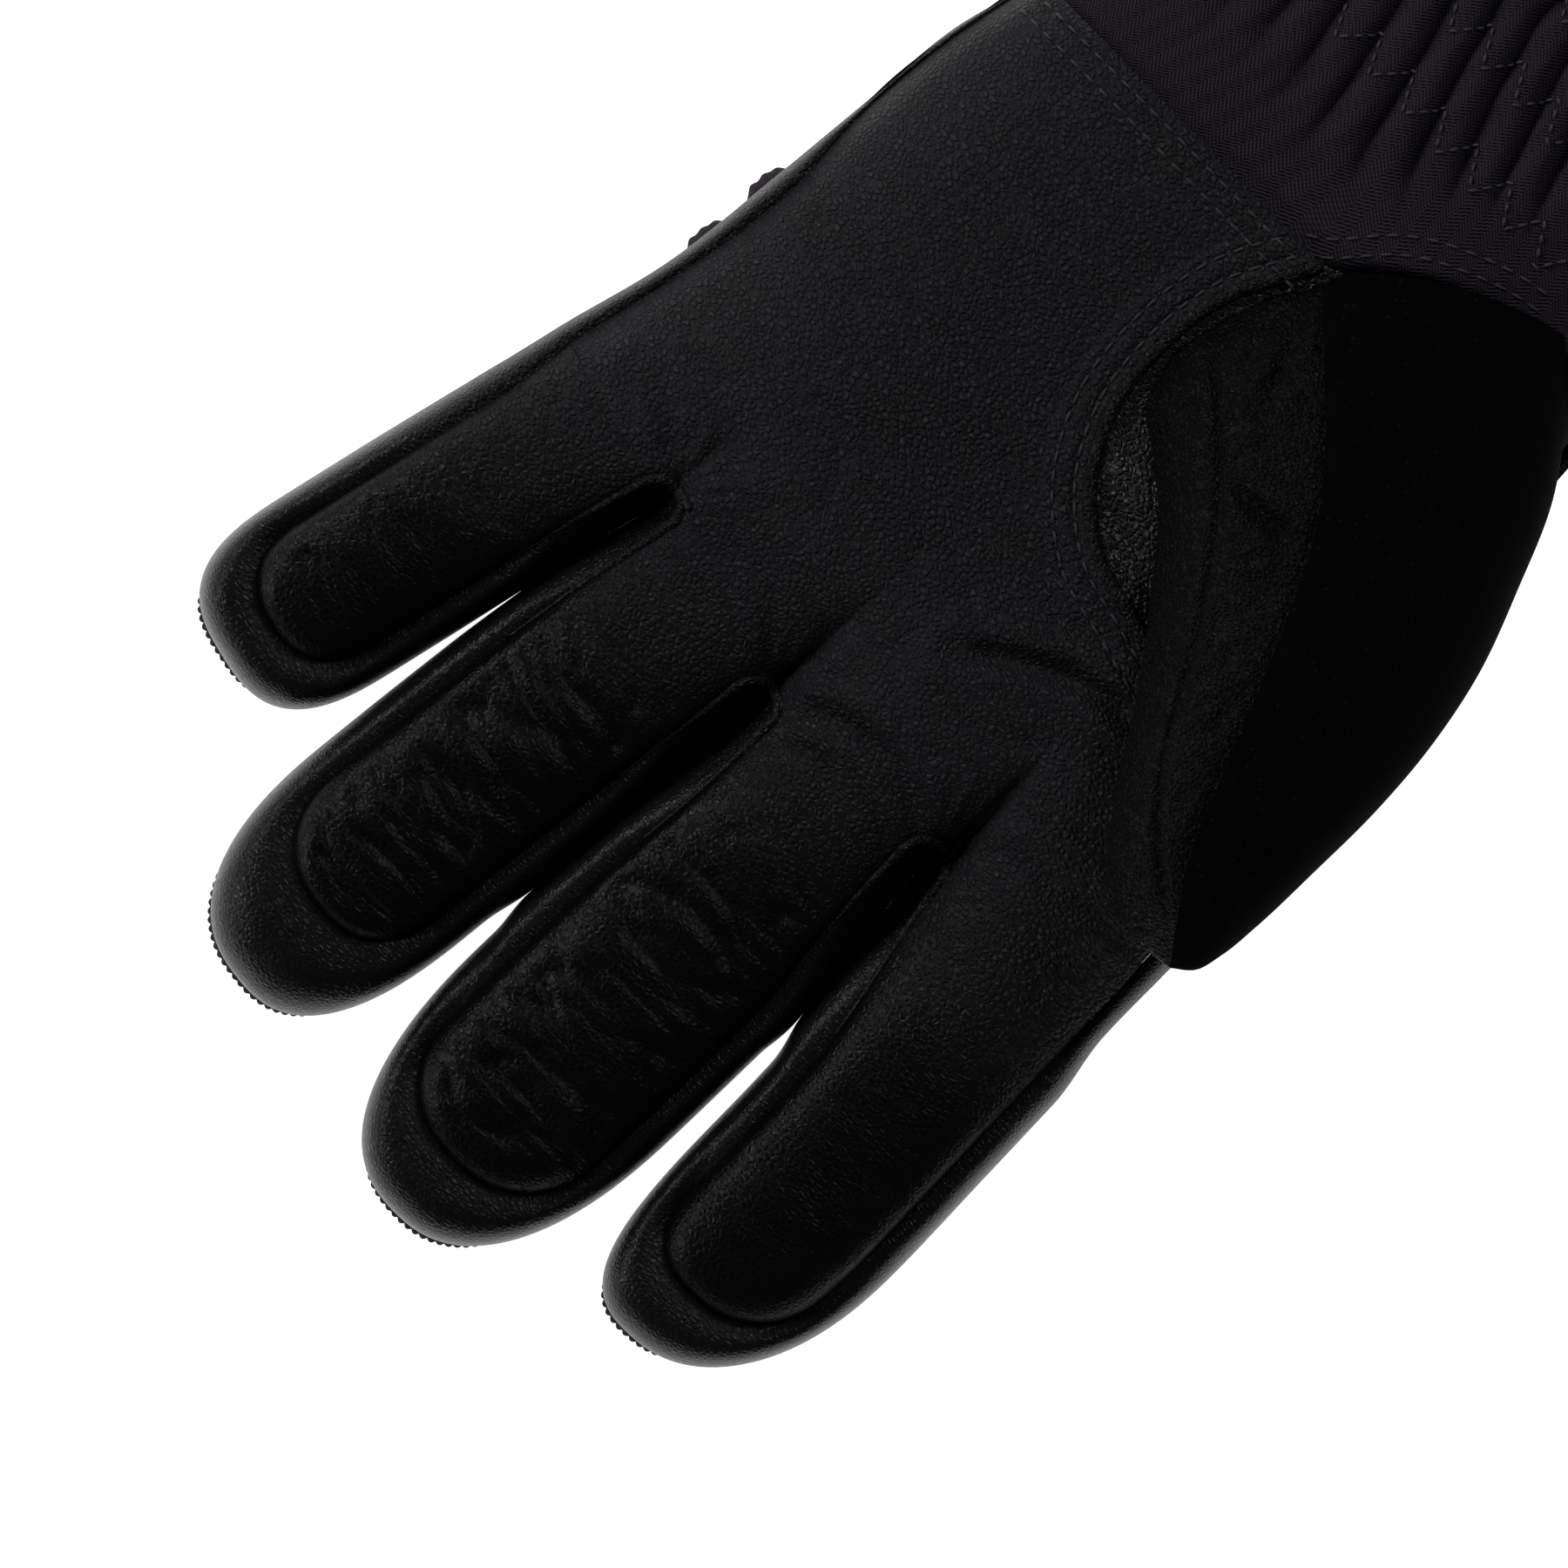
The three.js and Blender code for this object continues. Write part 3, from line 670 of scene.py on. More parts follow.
def thread_finish(name, tint):
    """Twisted sewing thread: a fine slant of strands."""
    made = Finish(name, Specular_IOR_Level=0.35)
    strand = made.noise(made.laid((3.0, 3.0, 3.0)), 1.0, 2.0, 0.5)
    made.set("Base Color", made.mix(strand, colour(tint, 0.6), colour(tint, 1.5)))
    made.set("Roughness", 0.5 + strand * 0.2)
    made.relief(strand, 0.05)
    return made.material


def floor_finish(name):
    """Matte white table lit from beneath."""
    made = Finish(name, Roughness=0.9, Specular_IOR_Level=0.1, Emission_Strength=1.0)
    made.shader.inputs["Emission Color"].default_value = (1, 1, 1, 1)
    where = made.node("ShaderNodeTexCoord", None, None, "Object")
    tooth = made.noise(where, 900.0, 2.0, 0.5)
    made.set("Base Color", made.mix(tooth, (0.93, 0.93, 0.93, 1), (0.96, 0.96, 0.96, 1)))
    made.relief(tooth, 0.02)
    return made.material


FINISHES = {}


def finish(name):
    """The finish of that name, made the first time that it is asked for."""
    if name not in FINISHES:
        c = bpy.context.scene.glove_colours
        FINISHES[name] = {
            # One hide colour made into four leathers. The palm's, 2.7 times lighter, is painted sheen standing in for
            # the overhead light that the flat palm reflects, and its 0.97 share darkens the fingers almost to black,
            # painted shade; the side strips and the thumb are lighter and darker copies of the hide.
            "palm_leather": lambda: leather_finish("Palm leather", [2.7 * k for k in c.leather], 1.0, 0.05, 0.10, 0.97),
            "side_leather": lambda: leather_finish("Side leather", [1.1 * k for k in c.leather], 1.15, 0.08, 0.15),
            "thumb_leather": lambda: leather_finish("Thumb leather", [0.45 * k for k in c.leather], 1.2, 0.10, 0.07),
            "gusset_leather": lambda: leather_finish("Gusset leather", c.leather, 1.1, 0.14, 0.40),
            "suede": lambda: suede_finish("Suede", c.suede),
            "twill": lambda: twill_finish("Herringbone cloth", c.cloth),
            "cord_cloth": lambda: rib_finish("Corded cloth", c.cloth),
            "webbing": lambda: rib_finish("Elastic webbing", c.cloth, 0.9),
            "fleece": lambda: fleece_finish("Fleece lining", c.lining),
            "thread": lambda: thread_finish("Leather thread", c.thread),
            "cloth_thread": lambda: thread_finish("Cloth thread", c.cloth_thread),
        }[name]()
    return FINISHES[name]


# ---------------------------------------------------------------- seams of the fingers


def seam(finger, side, start, parting, inset, last, count, arc):
    """One side seam of a finger in plan, from its root: a quarter circle out of the crotch of that radius,
    then a line that eases from the crotch's line to the outline less the inset, up to u = last."""
    u0, v0 = finger.local(*start)
    arc = arc if parting else 0.01
    a = np.linspace(0, np.pi / 2, 9)
    lead_u, lead_v = u0 + arc * (1 - np.cos(a)), v0 - side * arc * np.sin(a)
    u = np.linspace(u0 + arc, last, 60)[1:]
    goal = finger.middle(u) + side * (finger.girth(u) - inset)
    open_u = finger.local(*parting)[0] if parting else u0 + arc + 14
    v = lead_v[-1] + (goal - lead_v[-1]) * ease(u0 + arc - 4, open_u, u)
    line = finger.place(np.concatenate([lead_u, u]), np.concatenate([lead_v, v]))
    return respace(line, count)


def rim(finger, side, start, parting, last, count, lead):
    """The finger's widest line in plan, from its root: down the middle of the gap until the fingers part, then its outline."""
    u0, v0 = finger.local(start[0] + lead, start[1])
    u = np.linspace(u0, last, 80)
    free = finger.middle(u) + side * finger.girth(u)
    if parting:
        up, vp = finger.local(*parting)
        shut = v0 + (vp - v0) * np.clip((u - u0) / (up - u0), 0, 1.1)
        share = ease(up - 5, up + 3, u)
        v = shut * (1 - share) + free * share
    else:
        v = v0 + (free - v0) * ease(u0, u0 + 12, u)
    return respace(finger.place(u, v), count)


def starts(index):
    """Where a finger's two side seams begin, and where its gaps open: crotch or edge points."""
    left = CROTCHES[index - 1] if index else LITTLE_LINE[-1]
    right = CROTCHES[index] if index < 3 else HOLE_LINE[-1]
    return (left, PARTINGS[index - 1] if index else None), (right, PARTINGS[index] if index < 3 else None)


def cap_rows(finger, half, turn, nose, power, rows, t):
    """Plan rows of a round end: each the straight row pushed ahead by its share of a superellipse over the width."""
    share = np.linspace(0, 1, rows)[:, None]
    u = turn + nose * share * (1 - np.abs(t[None]) ** power) ** (1 / power)
    v = finger.middle(u) + half * t[None] + np.zeros_like(u)
    return finger.place(u, v)


def cap_line(finger, half, turn, nose, power, count):
    """The outline of that round end from its left to its right, spaced by angle."""
    a = np.linspace(-np.pi / 2, np.pi / 2, count)
    t = np.sign(np.sin(a)) * np.abs(np.sin(a)) ** (2 / power)
    u = turn + nose * np.abs(np.cos(a)) ** (2 / power)
    return finger.place(u, finger.middle(u) + half * t)


ROWS, COLUMNS = 110, 44


def palm_grid(bottom_line, hole_line, little_line):
    """The hand's plan: four bands of rows between the wrist and the root line through the crotches.
    Each point is the blend of its opposite edge points, less the blend of the four corners."""
    across = np.concatenate([(k + (1 + np.sin(np.pi * (np.linspace(0, 1, COLUMNS) - 0.5))) / 2) for k in range(4)])
    q = np.unique(np.round(across, 9)) / 4
    roots = np.array([little_line[-1], *CROTCHES, hole_line[-1]], float)
    r = np.linspace(0, 1, 150)
    top = np.stack([np.interp(q * 4, np.arange(5), roots[:, k]) for k in (0, 1)], axis=1)
    bottom = through(bottom_line, 2)[0] * (1 - q[:, None]) + through(bottom_line, 2)[-1] * q[:, None]
    left, right = through(little_line, 150), through(hole_line, 150)
    rr, qq = r[:, None, None], q[None, :, None]
    plan = left[:, None] * (1 - qq) + right[:, None] * qq + bottom[None] * (1 - rr) + top[None] * rr
    corner = (
        left[0] * (1 - rr) * (1 - qq) + left[-1] * rr * (1 - qq) + right[0] * (1 - rr) * qq + right[-1] * rr * qq
    )
    return plan - corner


def finger_grids(index, inset, toe, arc):
    """A finger panel's plan as (rows up to the round end, rows of the round end) and the distance of each point
    from its seam."""
    finger = FINGERS[index]
    (left, left_gap), (right, right_gap) = starts(index)
    half = finger.half - inset - 0.3
    nose = 1.05 * half
    turn = finger.reach - toe - nose
    t = np.sin(np.pi * (np.linspace(0, 1, COLUMNS) - 0.5))
    a = seam(finger, -1, left, left_gap, inset + 0.3, turn, ROWS, arc)
    b = seam(finger, 1, right, right_gap, inset + 0.3, turn, ROWS, arc)
    width = np.linalg.norm(b - a, axis=1)[:, None] / 2
    straight = (a + b)[:, None] / 2 + (b - a)[:, None] / 2 * t[None, :, None]
    cap = cap_rows(finger, half, turn, nose, 2.3, 40, t)
    share = np.linspace(0, 1, 40)[:, None]
    rho = (np.abs(t[None]) ** 2.3 + (share * (1 - np.abs(t[None]) ** 2.3) ** (1 / 2.3)) ** 2.3) ** (1 / 2.3)
    plan = np.concatenate([straight, cap[1:]])
    away = np.concatenate([(1 - np.abs(t[None])) * width, ((1 - rho) * half)[1:]])
    return plan, away


def laid_over(plan, z):
    return np.concatenate([plan, z[..., None]], axis=-1)


def front_skin():
    """The palm leather with its four finger fronts, one skin; also which faces are of the palm and of each finger."""
    plan = palm_grid(WRIST_SEAM, HOLE_LINE, LITTLE_LINE)
    x, y = plan[..., 0], plan[..., 1]
    arc = from_line(x, y, HOLE)
    wrist = from_line(x, y, np.array(WRIST_SEAM))
    side = from_line(x, y, through(LITTLE_LINE, 60))
    crotch = np.min([np.hypot(x - cx, y - cy) for cx, cy in CROTCHES], axis=0)
    z = front_height(x, y) + leather_wear(x, y)
    z += seam_dip(crotch, 0.7, 1.2) + seam_dip(side, 1.0, 1.6)
    z += hem_lift(arc) * ease(30, 10, x) + hem_lift(wrist) * ease(4, 10, side)
    grids = [laid_over(plan, z)]
    for index, finger in enumerate(FINGERS):
        plan, away = finger_grids(index, finger.inset, finger.toe, WELT)
        x, y = plan[..., 0], plan[..., 1]
        u, v = finger.local(x, y)
        z = front_height(x, y) + leather_wear(x, y) * ease(26, 0, u) + finger_wear(finger, u, v) * ease(0.3, 4.5, away)
        deep = seam_depth(finger, u)
        z += seam_dip(away, deep * 0.75, 1.5) + seam_dip(away, 0.8 + deep * 0.25, 0.42)
        grids.append(laid_over(plan, z))
    skins = [sheet(g) for g in grids]
    counts = np.cumsum([0] + [len(s.faces) for s in skins])
    whole = sewn(skins).shade()
    owner = np.concatenate([np.full(counts[k + 1] - counts[k], k) for k in range(5)])
    return whole, owner


def seam_depth(finger, u):
    """How deep a finger's front seam lies: shallow at the crotch's rolled edge, deepest round the tip."""
    return 0.2 + 0.8 * ease(-4, 22, u) + 0.9 * ease(finger.reach - 35, finger.reach - 14, u)


def hem_lift(d):
    """A folded edge: two layers for 6 mm, drawn down by its rows of stitches at 2.1 and 5.2 mm, and rolled under."""
    z = 0.55 * ease(6.8, 5.8, d)
    z -= 0.40 * np.exp(-(((d - 2.1) / 0.55) ** 2)) + 0.40 * np.exp(-(((d - 5.2) / 0.55) ** 2))
    return z - 0.7 * ease(0.9, 0.0, d)


def seam_height(xy, index=None):
    """Height of the front leather where it meets a seam."""
    x, y = xy[..., 0], xy[..., 1]
    z = front_height(x, y)
    if index is None:
        crotch = np.min([np.hypot(x - cx, y - cy) for cx, cy in CROTCHES], axis=0)
        return z + leather_wear(x, y) + seam_dip(crotch, 0.7, 1.2) - 1.0
    finger = FINGERS[index]
    u, v = finger.local(x, y)
    return z + leather_wear(x, y) * ease(26, 0, u) - seam_depth(finger, u) - 0.8


def strip(front, outer, rear, top, bottom, sunk, full=1.0, around=25):
    """A side strip: across it the plan goes from the front seam out to the widest line and in to the back seam by a
    power of the sine, while the height falls by the cosine, with a fuller shoulder beside the front seam.
    Where sunk is 1 it drops straight from the seam into the gap instead."""
    a = np.linspace(0, np.pi, around)[None]
    sunk = sunk[:, None]
    front_half = ease(np.pi / 2 + 0.01, np.pi / 2 - 0.01, a)
    push = np.sin(a) ** (0.8 + 1.3 * sunk * front_half)
    middle = core(outer[:, :1])
    ahead = a < np.pi / 2
    base = np.where(ahead[..., None], front[:, None], rear[:, None])
    plan = base + (outer[:, None] - base) * push[..., None]
    z = np.where(
        ahead,
        middle
        + (top[:, None] - middle) * np.abs(np.cos(a)) ** (1 + 0.6 * sunk)
        + np.reshape(full, (-1, 1)) * np.sin(2 * a) * ahead * (1 - 1.2 * sunk),
        middle - (middle - bottom[:, None]) * np.abs(np.cos(a)),
    )
    return laid_over(plan, z)


def finger_edges(index, inset, toe, arc, count=90, round_count=60):
    """The whole seam line of a finger panel in plan: up one side, round its end and back down the other."""
    finger = FINGERS[index]
    (left, left_gap), (right, right_gap) = starts(index)
    half = finger.half - inset - 0.3
    nose = 1.05 * half
    turn = finger.reach - toe - nose
    a = seam(finger, -1, left, left_gap, inset + 0.3, turn, count, arc)
    b = seam(finger, 1, right, right_gap, inset + 0.3, turn, count, arc)
    cap = cap_line(finger, half, turn, nose, 2.3, round_count)
    return np.concatenate([a[:-1], cap, b[::-1][1:]])


def finger_rim(index, count=90, round_count=60):
    """The finger's widest line in plan, all the way round."""
    finger = FINGERS[index]
    (left, left_gap), (right, right_gap) = starts(index)
    lead = [2.4 if gap else 0.5 for gap in (left_gap, right_gap)]
    begin = [left, right]
    if index == 0:
        begin[0] = (29.5, along(30.0, PALM_LEFT))
    if index == 3:
        begin[1] = (36.5, along(37.0, PALM_RIGHT))
    a = rim(finger, -1, begin[0], left_gap, finger.turn, count, lead[0])
    b = rim(finger, 1, begin[1], right_gap, finger.turn, count, lead[1])
    cap = cap_line(finger, finger.girth(finger.turn), finger.turn, finger.nose, finger.blunt, round_count)
    return np.concatenate([a[:-1], cap, b[::-1][1:]])


BACK_INSET, BACK_TOE, BACK_ARC = 3.4, 3.5, 2.6
INDEX_SIDE = ((-58.0, 42.0), (-30.0, 46.5), (-6.0, 51.5), (10.0, 55.5), (24.0, 58.9), (37.0, 60.5))


def strip_skin(index):
    """The side strip of one finger, with the hand's side added for the little and index fingers."""
    finger = FINGERS[index]
    front = finger_edges(index, finger.inset, finger.toe, WELT)
    rear = finger_edges(index, BACK_INSET, BACK_TOE, BACK_ARC)
    outer = finger_rim(index)
    top, bottom = seam_height(front, index), back_height(rear[:, 0], rear[:, 1])
    run = np.concatenate([[0], np.cumsum(np.linalg.norm(np.diff(outer, axis=0), axis=1))])
    if index in (0, 3):
        line = through(LITTLE_LINE, 70) if index == 0 else through(INDEX_SIDE, 70)
        edge = PALM_LEFT if index == 0 else PALM_RIGHT
        x = np.linspace(-60.0 if index else -52.0, outer[0, 0] if index == 0 else outer[-1, 0], 70)
        side = np.stack([x, along(x, edge)], axis=1)
        hind = side + np.array([0, 3.5 if index == 0 else -3.5]) * ease(-80, -50, x)[:, None]
        meet = rear[0] if index == 0 else rear[-1]
        hind += (meet - hind[-1]) * ease(10, 30 if index == 0 else 36, x)[:, None]
        up = seam_height(line)
        down = back_height(hind[:, 0], hind[:, 1])
        up += (top[0 if index == 0 else -1] - up[-1]) * ease(20, 30 if index == 0 else 37, line[:, 0])
        if index == 0:
            front, outer, rear = (np.concatenate([a[:-1], b]) for a, b in ((line, front), (side, outer), (hind, rear)))
            top, bottom = np.concatenate([up[:-1], top]), np.concatenate([down[:-1], bottom])
        else:
            front, outer, rear = (
                np.concatenate([b, a[::-1][1:]]) for a, b in ((line, front), (side, outer), (hind, rear))
            )
            top, bottom = np.concatenate([top, up[::-1][1:]]), np.concatenate([bottom, down[::-1][1:]])
        run = np.concatenate([[0], np.cumsum(np.linalg.norm(np.diff(outer, axis=0), axis=1))])
    crotch = np.min([np.hypot(outer[:, 0] - cx, outer[:, 1] - cy) for cx, cy in CROTCHES], axis=0)
    full = 1.0 + 1.0 * ease(finger.reach - 30, finger.reach - 8, finger.local(front[:, 0], front[:, 1])[0])
    grid = strip(front, outer, rear, top, bottom, ease(30, 5, crotch), full)
    wave = 0.35 * (mottle(run / 6.0, run * 0, 70 + index) - 0.5)[:, None] * np.sin(np.linspace(0, np.pi, 25))[None]
    grid[..., 2] += wave
    return sheet(grid, flip=True).shade()


def welt_line(index, side, reach):
    """The rolled edge along one side seam from the crotch out to a length: its points, and its radius, which tapers."""
    finger = FINGERS[index]
    (left, left_gap), (right, right_gap) = starts(index)
    start, gap = (left, left_gap) if side < 0 else (right, right_gap)
    half = finger.half - finger.inset - 0.3
    turn = finger.reach - finger.toe - 1.05 * half
    line = respace(seam(finger, side, start, gap, finger.inset + 0.3, turn, 300, WELT), 300)
    run = np.concatenate([[0], np.cumsum(np.linalg.norm(np.diff(line, axis=0), axis=1))])
    line, run = line[run < reach], run[run < reach]
    line = respace(line, 90)
    radius = 0.9 - 0.65 * ease(0, 1, np.linspace(0, 1, 90))
    z = seam_height(line, index) + 0.55 - 0.25 * np.linspace(0, 1, 90)
    return laid_over(line, z), radius


def hang(piece, finger, tip):
    """Bakes a finger's piece into place; the room of its joint, the root joint or the knuckle for a tip piece, is
    looked up, but the piece is not hung on it.
    """
    low, high = finger.knuckle_room if tip else finger.flex_room
    a, b = finger.place(low, 0), finger.place(high, 0)
    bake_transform(piece)
    return piece


def halves(finger, skin, owner=None):
    """Faces of a finger's skin up to the split in its first segment, and those past it."""
    c = skin.centres()
    u, _ = finger.local(c[:, 0], c[:, 1])
    split = (finger.flex_room[1] + finger.knuckle_room[0]) / 2
    mine = np.ones(len(c), bool) if owner is None else owner
    return mine & (u <= split), mine & (u > split)


# ---------------------------------------------------------------- thumb


THUMB_AT = np.array(JOINTS["thumb_root_lift"]["pos_m"]) / MM
THUMB_AHEAD = np.array([math.cos(THUMB_YAW), math.sin(THUMB_YAW)])
THUMB_SIDE = np.array([-math.sin(THUMB_YAW), math.cos(THUMB_YAW)])
THUMB_LEFT = (
    (-9.8, -19.7),
    (-0.6, -29.5),
    (8.3, -34.2),
    (16.0, -34.0),
    (22.0, -30.0),
    (28.5, -26.4),
    (41.5, -22.3),
    (55.3, -19.1),
    (72, -16.2),
    (79.2, -14.0),
    (83.6, -10.2),
    (86.8, -6.0),
    (88.4, -1.0),
)
THUMB_RIGHT = (
    (-13.3, 19.4),
    (-4.0, 22.6),
    (7.5, 25.2),
    (21, 25.2),
    (34, 24.4),
    (46, 21.8),
    (57.6, 17.8),
    (68.6, 12.9),
    (78.6, 8.2),
    (84.0, 5.2),
    (87.4, 2.4),
    (88.4, -1.0),
)
SEAM_A = ((2.1, -28.6), (22, -19.5), (40.1, -15), (65, -11.7), (88.4, -1.0))
SEAM_B = ((-9.6, -16.5), (22.9, -4.7), (48.7, -3.7), (75, -3.9), (88.4, -1.0))
THUMB_TOP = ((-14, 38.8), (0, 42.8), (20, 49.5), (40, 54.5), (55, 57.3), (70, 57.0), (80, 54.5), (88, 49.0))


def thumb_place(u, v):
    """Plan position of (u, v) on the thumb."""
    u, v = np.asarray(u, float), np.asarray(v, float)
    return np.stack(
        [
            THUMB_AT[0] + u * THUMB_AHEAD[0] + v * THUMB_SIDE[0],
            THUMB_AT[1] + u * THUMB_AHEAD[1] + v * THUMB_SIDE[1],
        ],
        axis=-1,
    )


def thumb_local(x, y):
    dx, dy = x - THUMB_AT[0], y - THUMB_AT[1]
    return dx * THUMB_AHEAD[0] + dy * THUMB_AHEAD[1], dx * THUMB_SIDE[0] + dy * THUMB_SIDE[1]


THUMB_ROWS = 130


def thumb_frame():
    """Along the thumb: its left and right edges in (u, v), and its top, widest and bottom heights."""
    left, right = through(THUMB_LEFT, THUMB_ROWS), through(THUMB_RIGHT, THUMB_ROWS)
    s = np.linspace(0, 1, THUMB_ROWS)
    u = (left[:, 0] + right[:, 0]) / 2
    close = np.clip(1 - np.clip((s - 0.80) / 0.20, 0, 1) ** 2.2, 0, 1) ** (1 / 2.2)
    top = along(u, THUMB_TOP)
    wide = along(u, ((-14, 25.0), (10, 27.0), (30, 33.0), (50, 41.0), (70, 44.5), (88, 45.0)))
    low = along(u, ((-14, 7.0), (18, 10.0), (32, 24.0), (46, 33.5), (88, 37.5)))
    top = wide + (top - wide) * close
    low = wide - (wide - low) * close
    return left, right, u, top, wide, low


def thumb_point(share, angle):
    """Point of the thumb at a row and an angle from its right edge over the top to its left edge and on underneath:
    a superellipse across each row, squarer below near the hand so that the side stands upright."""
    left, right, u, top, wide, low = (a[share] for a in thumb_frame())
    c, s = np.cos(angle), np.sin(angle)
    square = np.where(s >= 0, 2.25, 2.3 + 2.7 * ease(48, 16, u)[:, None])
    across = np.sign(c) * np.abs(c) ** (2 / square)
    rise = np.sign(s) * np.abs(s) ** (2 / square)
    middle, half = (left + right)[:, None] / 2, (right - left)[:, None] / 2
    uv = middle + half * across[..., None]
    z = wide[:, None] + np.where(rise >= 0, (top - wide)[:, None] * rise, (wide - low)[:, None] * rise)
    return uv, z


def seam_angle(line):
    """The angle over the thumb at which each row passes a seam given in (u, v)."""
    left, right, *_ = thumb_frame()
    path = through(line, 400)
    at = np.zeros(THUMB_ROWS)
    for k in range(THUMB_ROWS):
        a, b = left[k], right[k]
        d = b - a
        along_row = (path - a) @ d / max(d @ d, 1e-9)
        off = np.abs((path - a) @ np.array([-d[1], d[0]]))
        at[k] = along_row[np.argmin(off)]
    xi = np.clip(2 * at - 1, -0.995, 0.995)
    return np.arccos(np.sign(xi) * np.abs(xi) ** (2.25 / 2))


def thumb_wear(u, v, where):
    """Folds of the thumb's leather: long slanted wrinkles and one fold across the middle strip."""
    z = 0.5 * (mottle(u / 11, v / 9 + 2, 81) - 0.5)
    if where == "middle":
        z += crease(u, v, ((21.5, -19), (25, -12), (28, -5)), 1.2, 1.5)
        z += crease(u, v, ((-8, -17), (3, -17), (11, -17.5)), 1.2, 0.9)
        z += crease(u, v, ((-9, -16.5), (2, -21), (9, -22)), 1.2, 0.7)
        z -= 0.45 * folds(u / 6 + v / 7, v / 12 - u / 30, 83)
        z -= 0.30 * folds(u / 3.0 + v / 3.5, v / 9, 84, 2.0) * ease(28, 36, u)
    if where == "inner":
        z -= 0.25 * folds(u / 9, v / 6, 85) * ease(10, 30, u)
        z += crease(u, v, ((12, -31), (14.5, -28), (18, -27.5)), 1.6, 1.2)
    return z


def thumb_panel(first, last, columns, where):
    """A panel of the thumb between two angles at each row, dipping towards its own seams."""
    rows = np.arange(THUMB_ROWS)
    t = np.linspace(0, 1, columns)
    share = (1 - np.cos(np.pi * t)) / 2
    angle = first[:, None] * (1 - share) + last[:, None] * share
    uv, z = thumb_point(rows, angle)
    left, right, *_ = thumb_frame()
    span = np.linalg.norm(right - left, axis=1)[:, None]
    run = span * 0.6 * (last - first)[:, None] / 1.2
    near = np.minimum(share[None] * np.abs(run), (1 - share[None]) * np.abs(run))
    uv_u, uv_v = uv[..., 0], uv[..., 1]
    fade = ease(0, 5, span)
    z = z + (thumb_wear(uv_u, uv_v, where) * ease(0, 3, near) + seam_dip(near, 0.8, 1.1)) * fade
    along_base = uv_u - left[0, 0]
    bulge = 3.2 * np.clip(1 - ((uv_v - 3.0) / 19) ** 2, 0, 1) * ease(14, 0, along_base)
    return laid_over(thumb_place(uv_u - bulge, uv_v), z)


def hang_thumb(piece, tip):
    """Bakes a thumb piece into place; the room of the thumb's knuckle or of its root is looked up, but the piece is not
    hung on either.
    """
    low, high = (34.0, 70.0) if tip else (2.0, 33.0)
    a, b = thumb_place(low, 0), thumb_place(high, 0)
    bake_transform(piece)
    return piece


def build_thumb_part(name, skin, finish_name, slot_name, stands_base, stands_tip):
    """Splits a thumb skin between its joints and builds both pieces."""
    c = skin.centres()
    u, _ = thumb_local(c[:, 0], c[:, 1])
    base = build(name + "_root", skin.part(u <= 33.5), finish(finish_name), slot_name)
    hang_thumb(base, False)
    tip = build(name + "_end", skin.part(u > 33.5), finish(finish_name), slot_name)
    hang_thumb(tip, True)
    if stands_base:
        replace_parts(base, *stands_base)
    if stands_tip:
        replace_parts(tip, *stands_tip)
    return base, tip


# ---------------------------------------------------------------- cuff


CUFF_MIDDLE = -3.0
CUFF_HALF = ((-160, 56.0), (-120, 50.5), (-92, 47.5), (-70, 48.6), (-50, 51.2), (-40, 52.0))
CUFF_DEEP = ((-160, 19.5), (-120, 17.8), (-92, 16.4), (-70, 17.4), (-50, 18.4), (-40, 18.6))
FOLD_PITCH = 7.1


def cuff_section(x, a, inset=0.0):
    """Point of the sleeve at x and an angle round it: a superellipse that is squarer towards the hand."""
    square = 2.4 + 0.7 * ease(-85, -50, x)
    half, deep = along(x, CUFF_HALF) - inset, along(x, CUFF_DEEP) - inset
    c, s = np.cos(a), np.sin(a)
    y = CUFF_MIDDLE + half * np.sign(c) * np.abs(c) ** (2 / square)
    z = PALM_CORE + 0.4 + deep * np.sign(s) * np.abs(s) ** (2 / square)
    return np.stack([x + 0 * a, y, np.maximum(z, 0.6 + inset)], axis=-1)


def gathers(x, run, deep, past):
    """Folds that run along the sleeve: rounded ridges with tight valleys, wandering a little, drawn in by the elastic.
    They begin where the cloth is past the seam by a centimetre and a half."""
    drift = 2.2 * (mottle(x / 26, run / 18, 91) - 0.5) + 1.0 * (mottle(x / 9, run / 9, 92) - 0.5)
    slant = 0.42 * (x + 70) * ease(-125, -100, x)
    wave = np.abs(np.sin(np.pi * (run + slant + drift) / FOLD_PITCH)) ** 0.75
    rise = 0.75 + 0.5 * mottle(x / 14, run / FOLD_PITCH, 93)
    amount = ease(9, 24, past) * (1 - 0.8 * ease(-118, -130, x))
    hem = ease(-150, -156, x)
    return deep * (wave * rise - 0.62) * amount * (1 - hem)


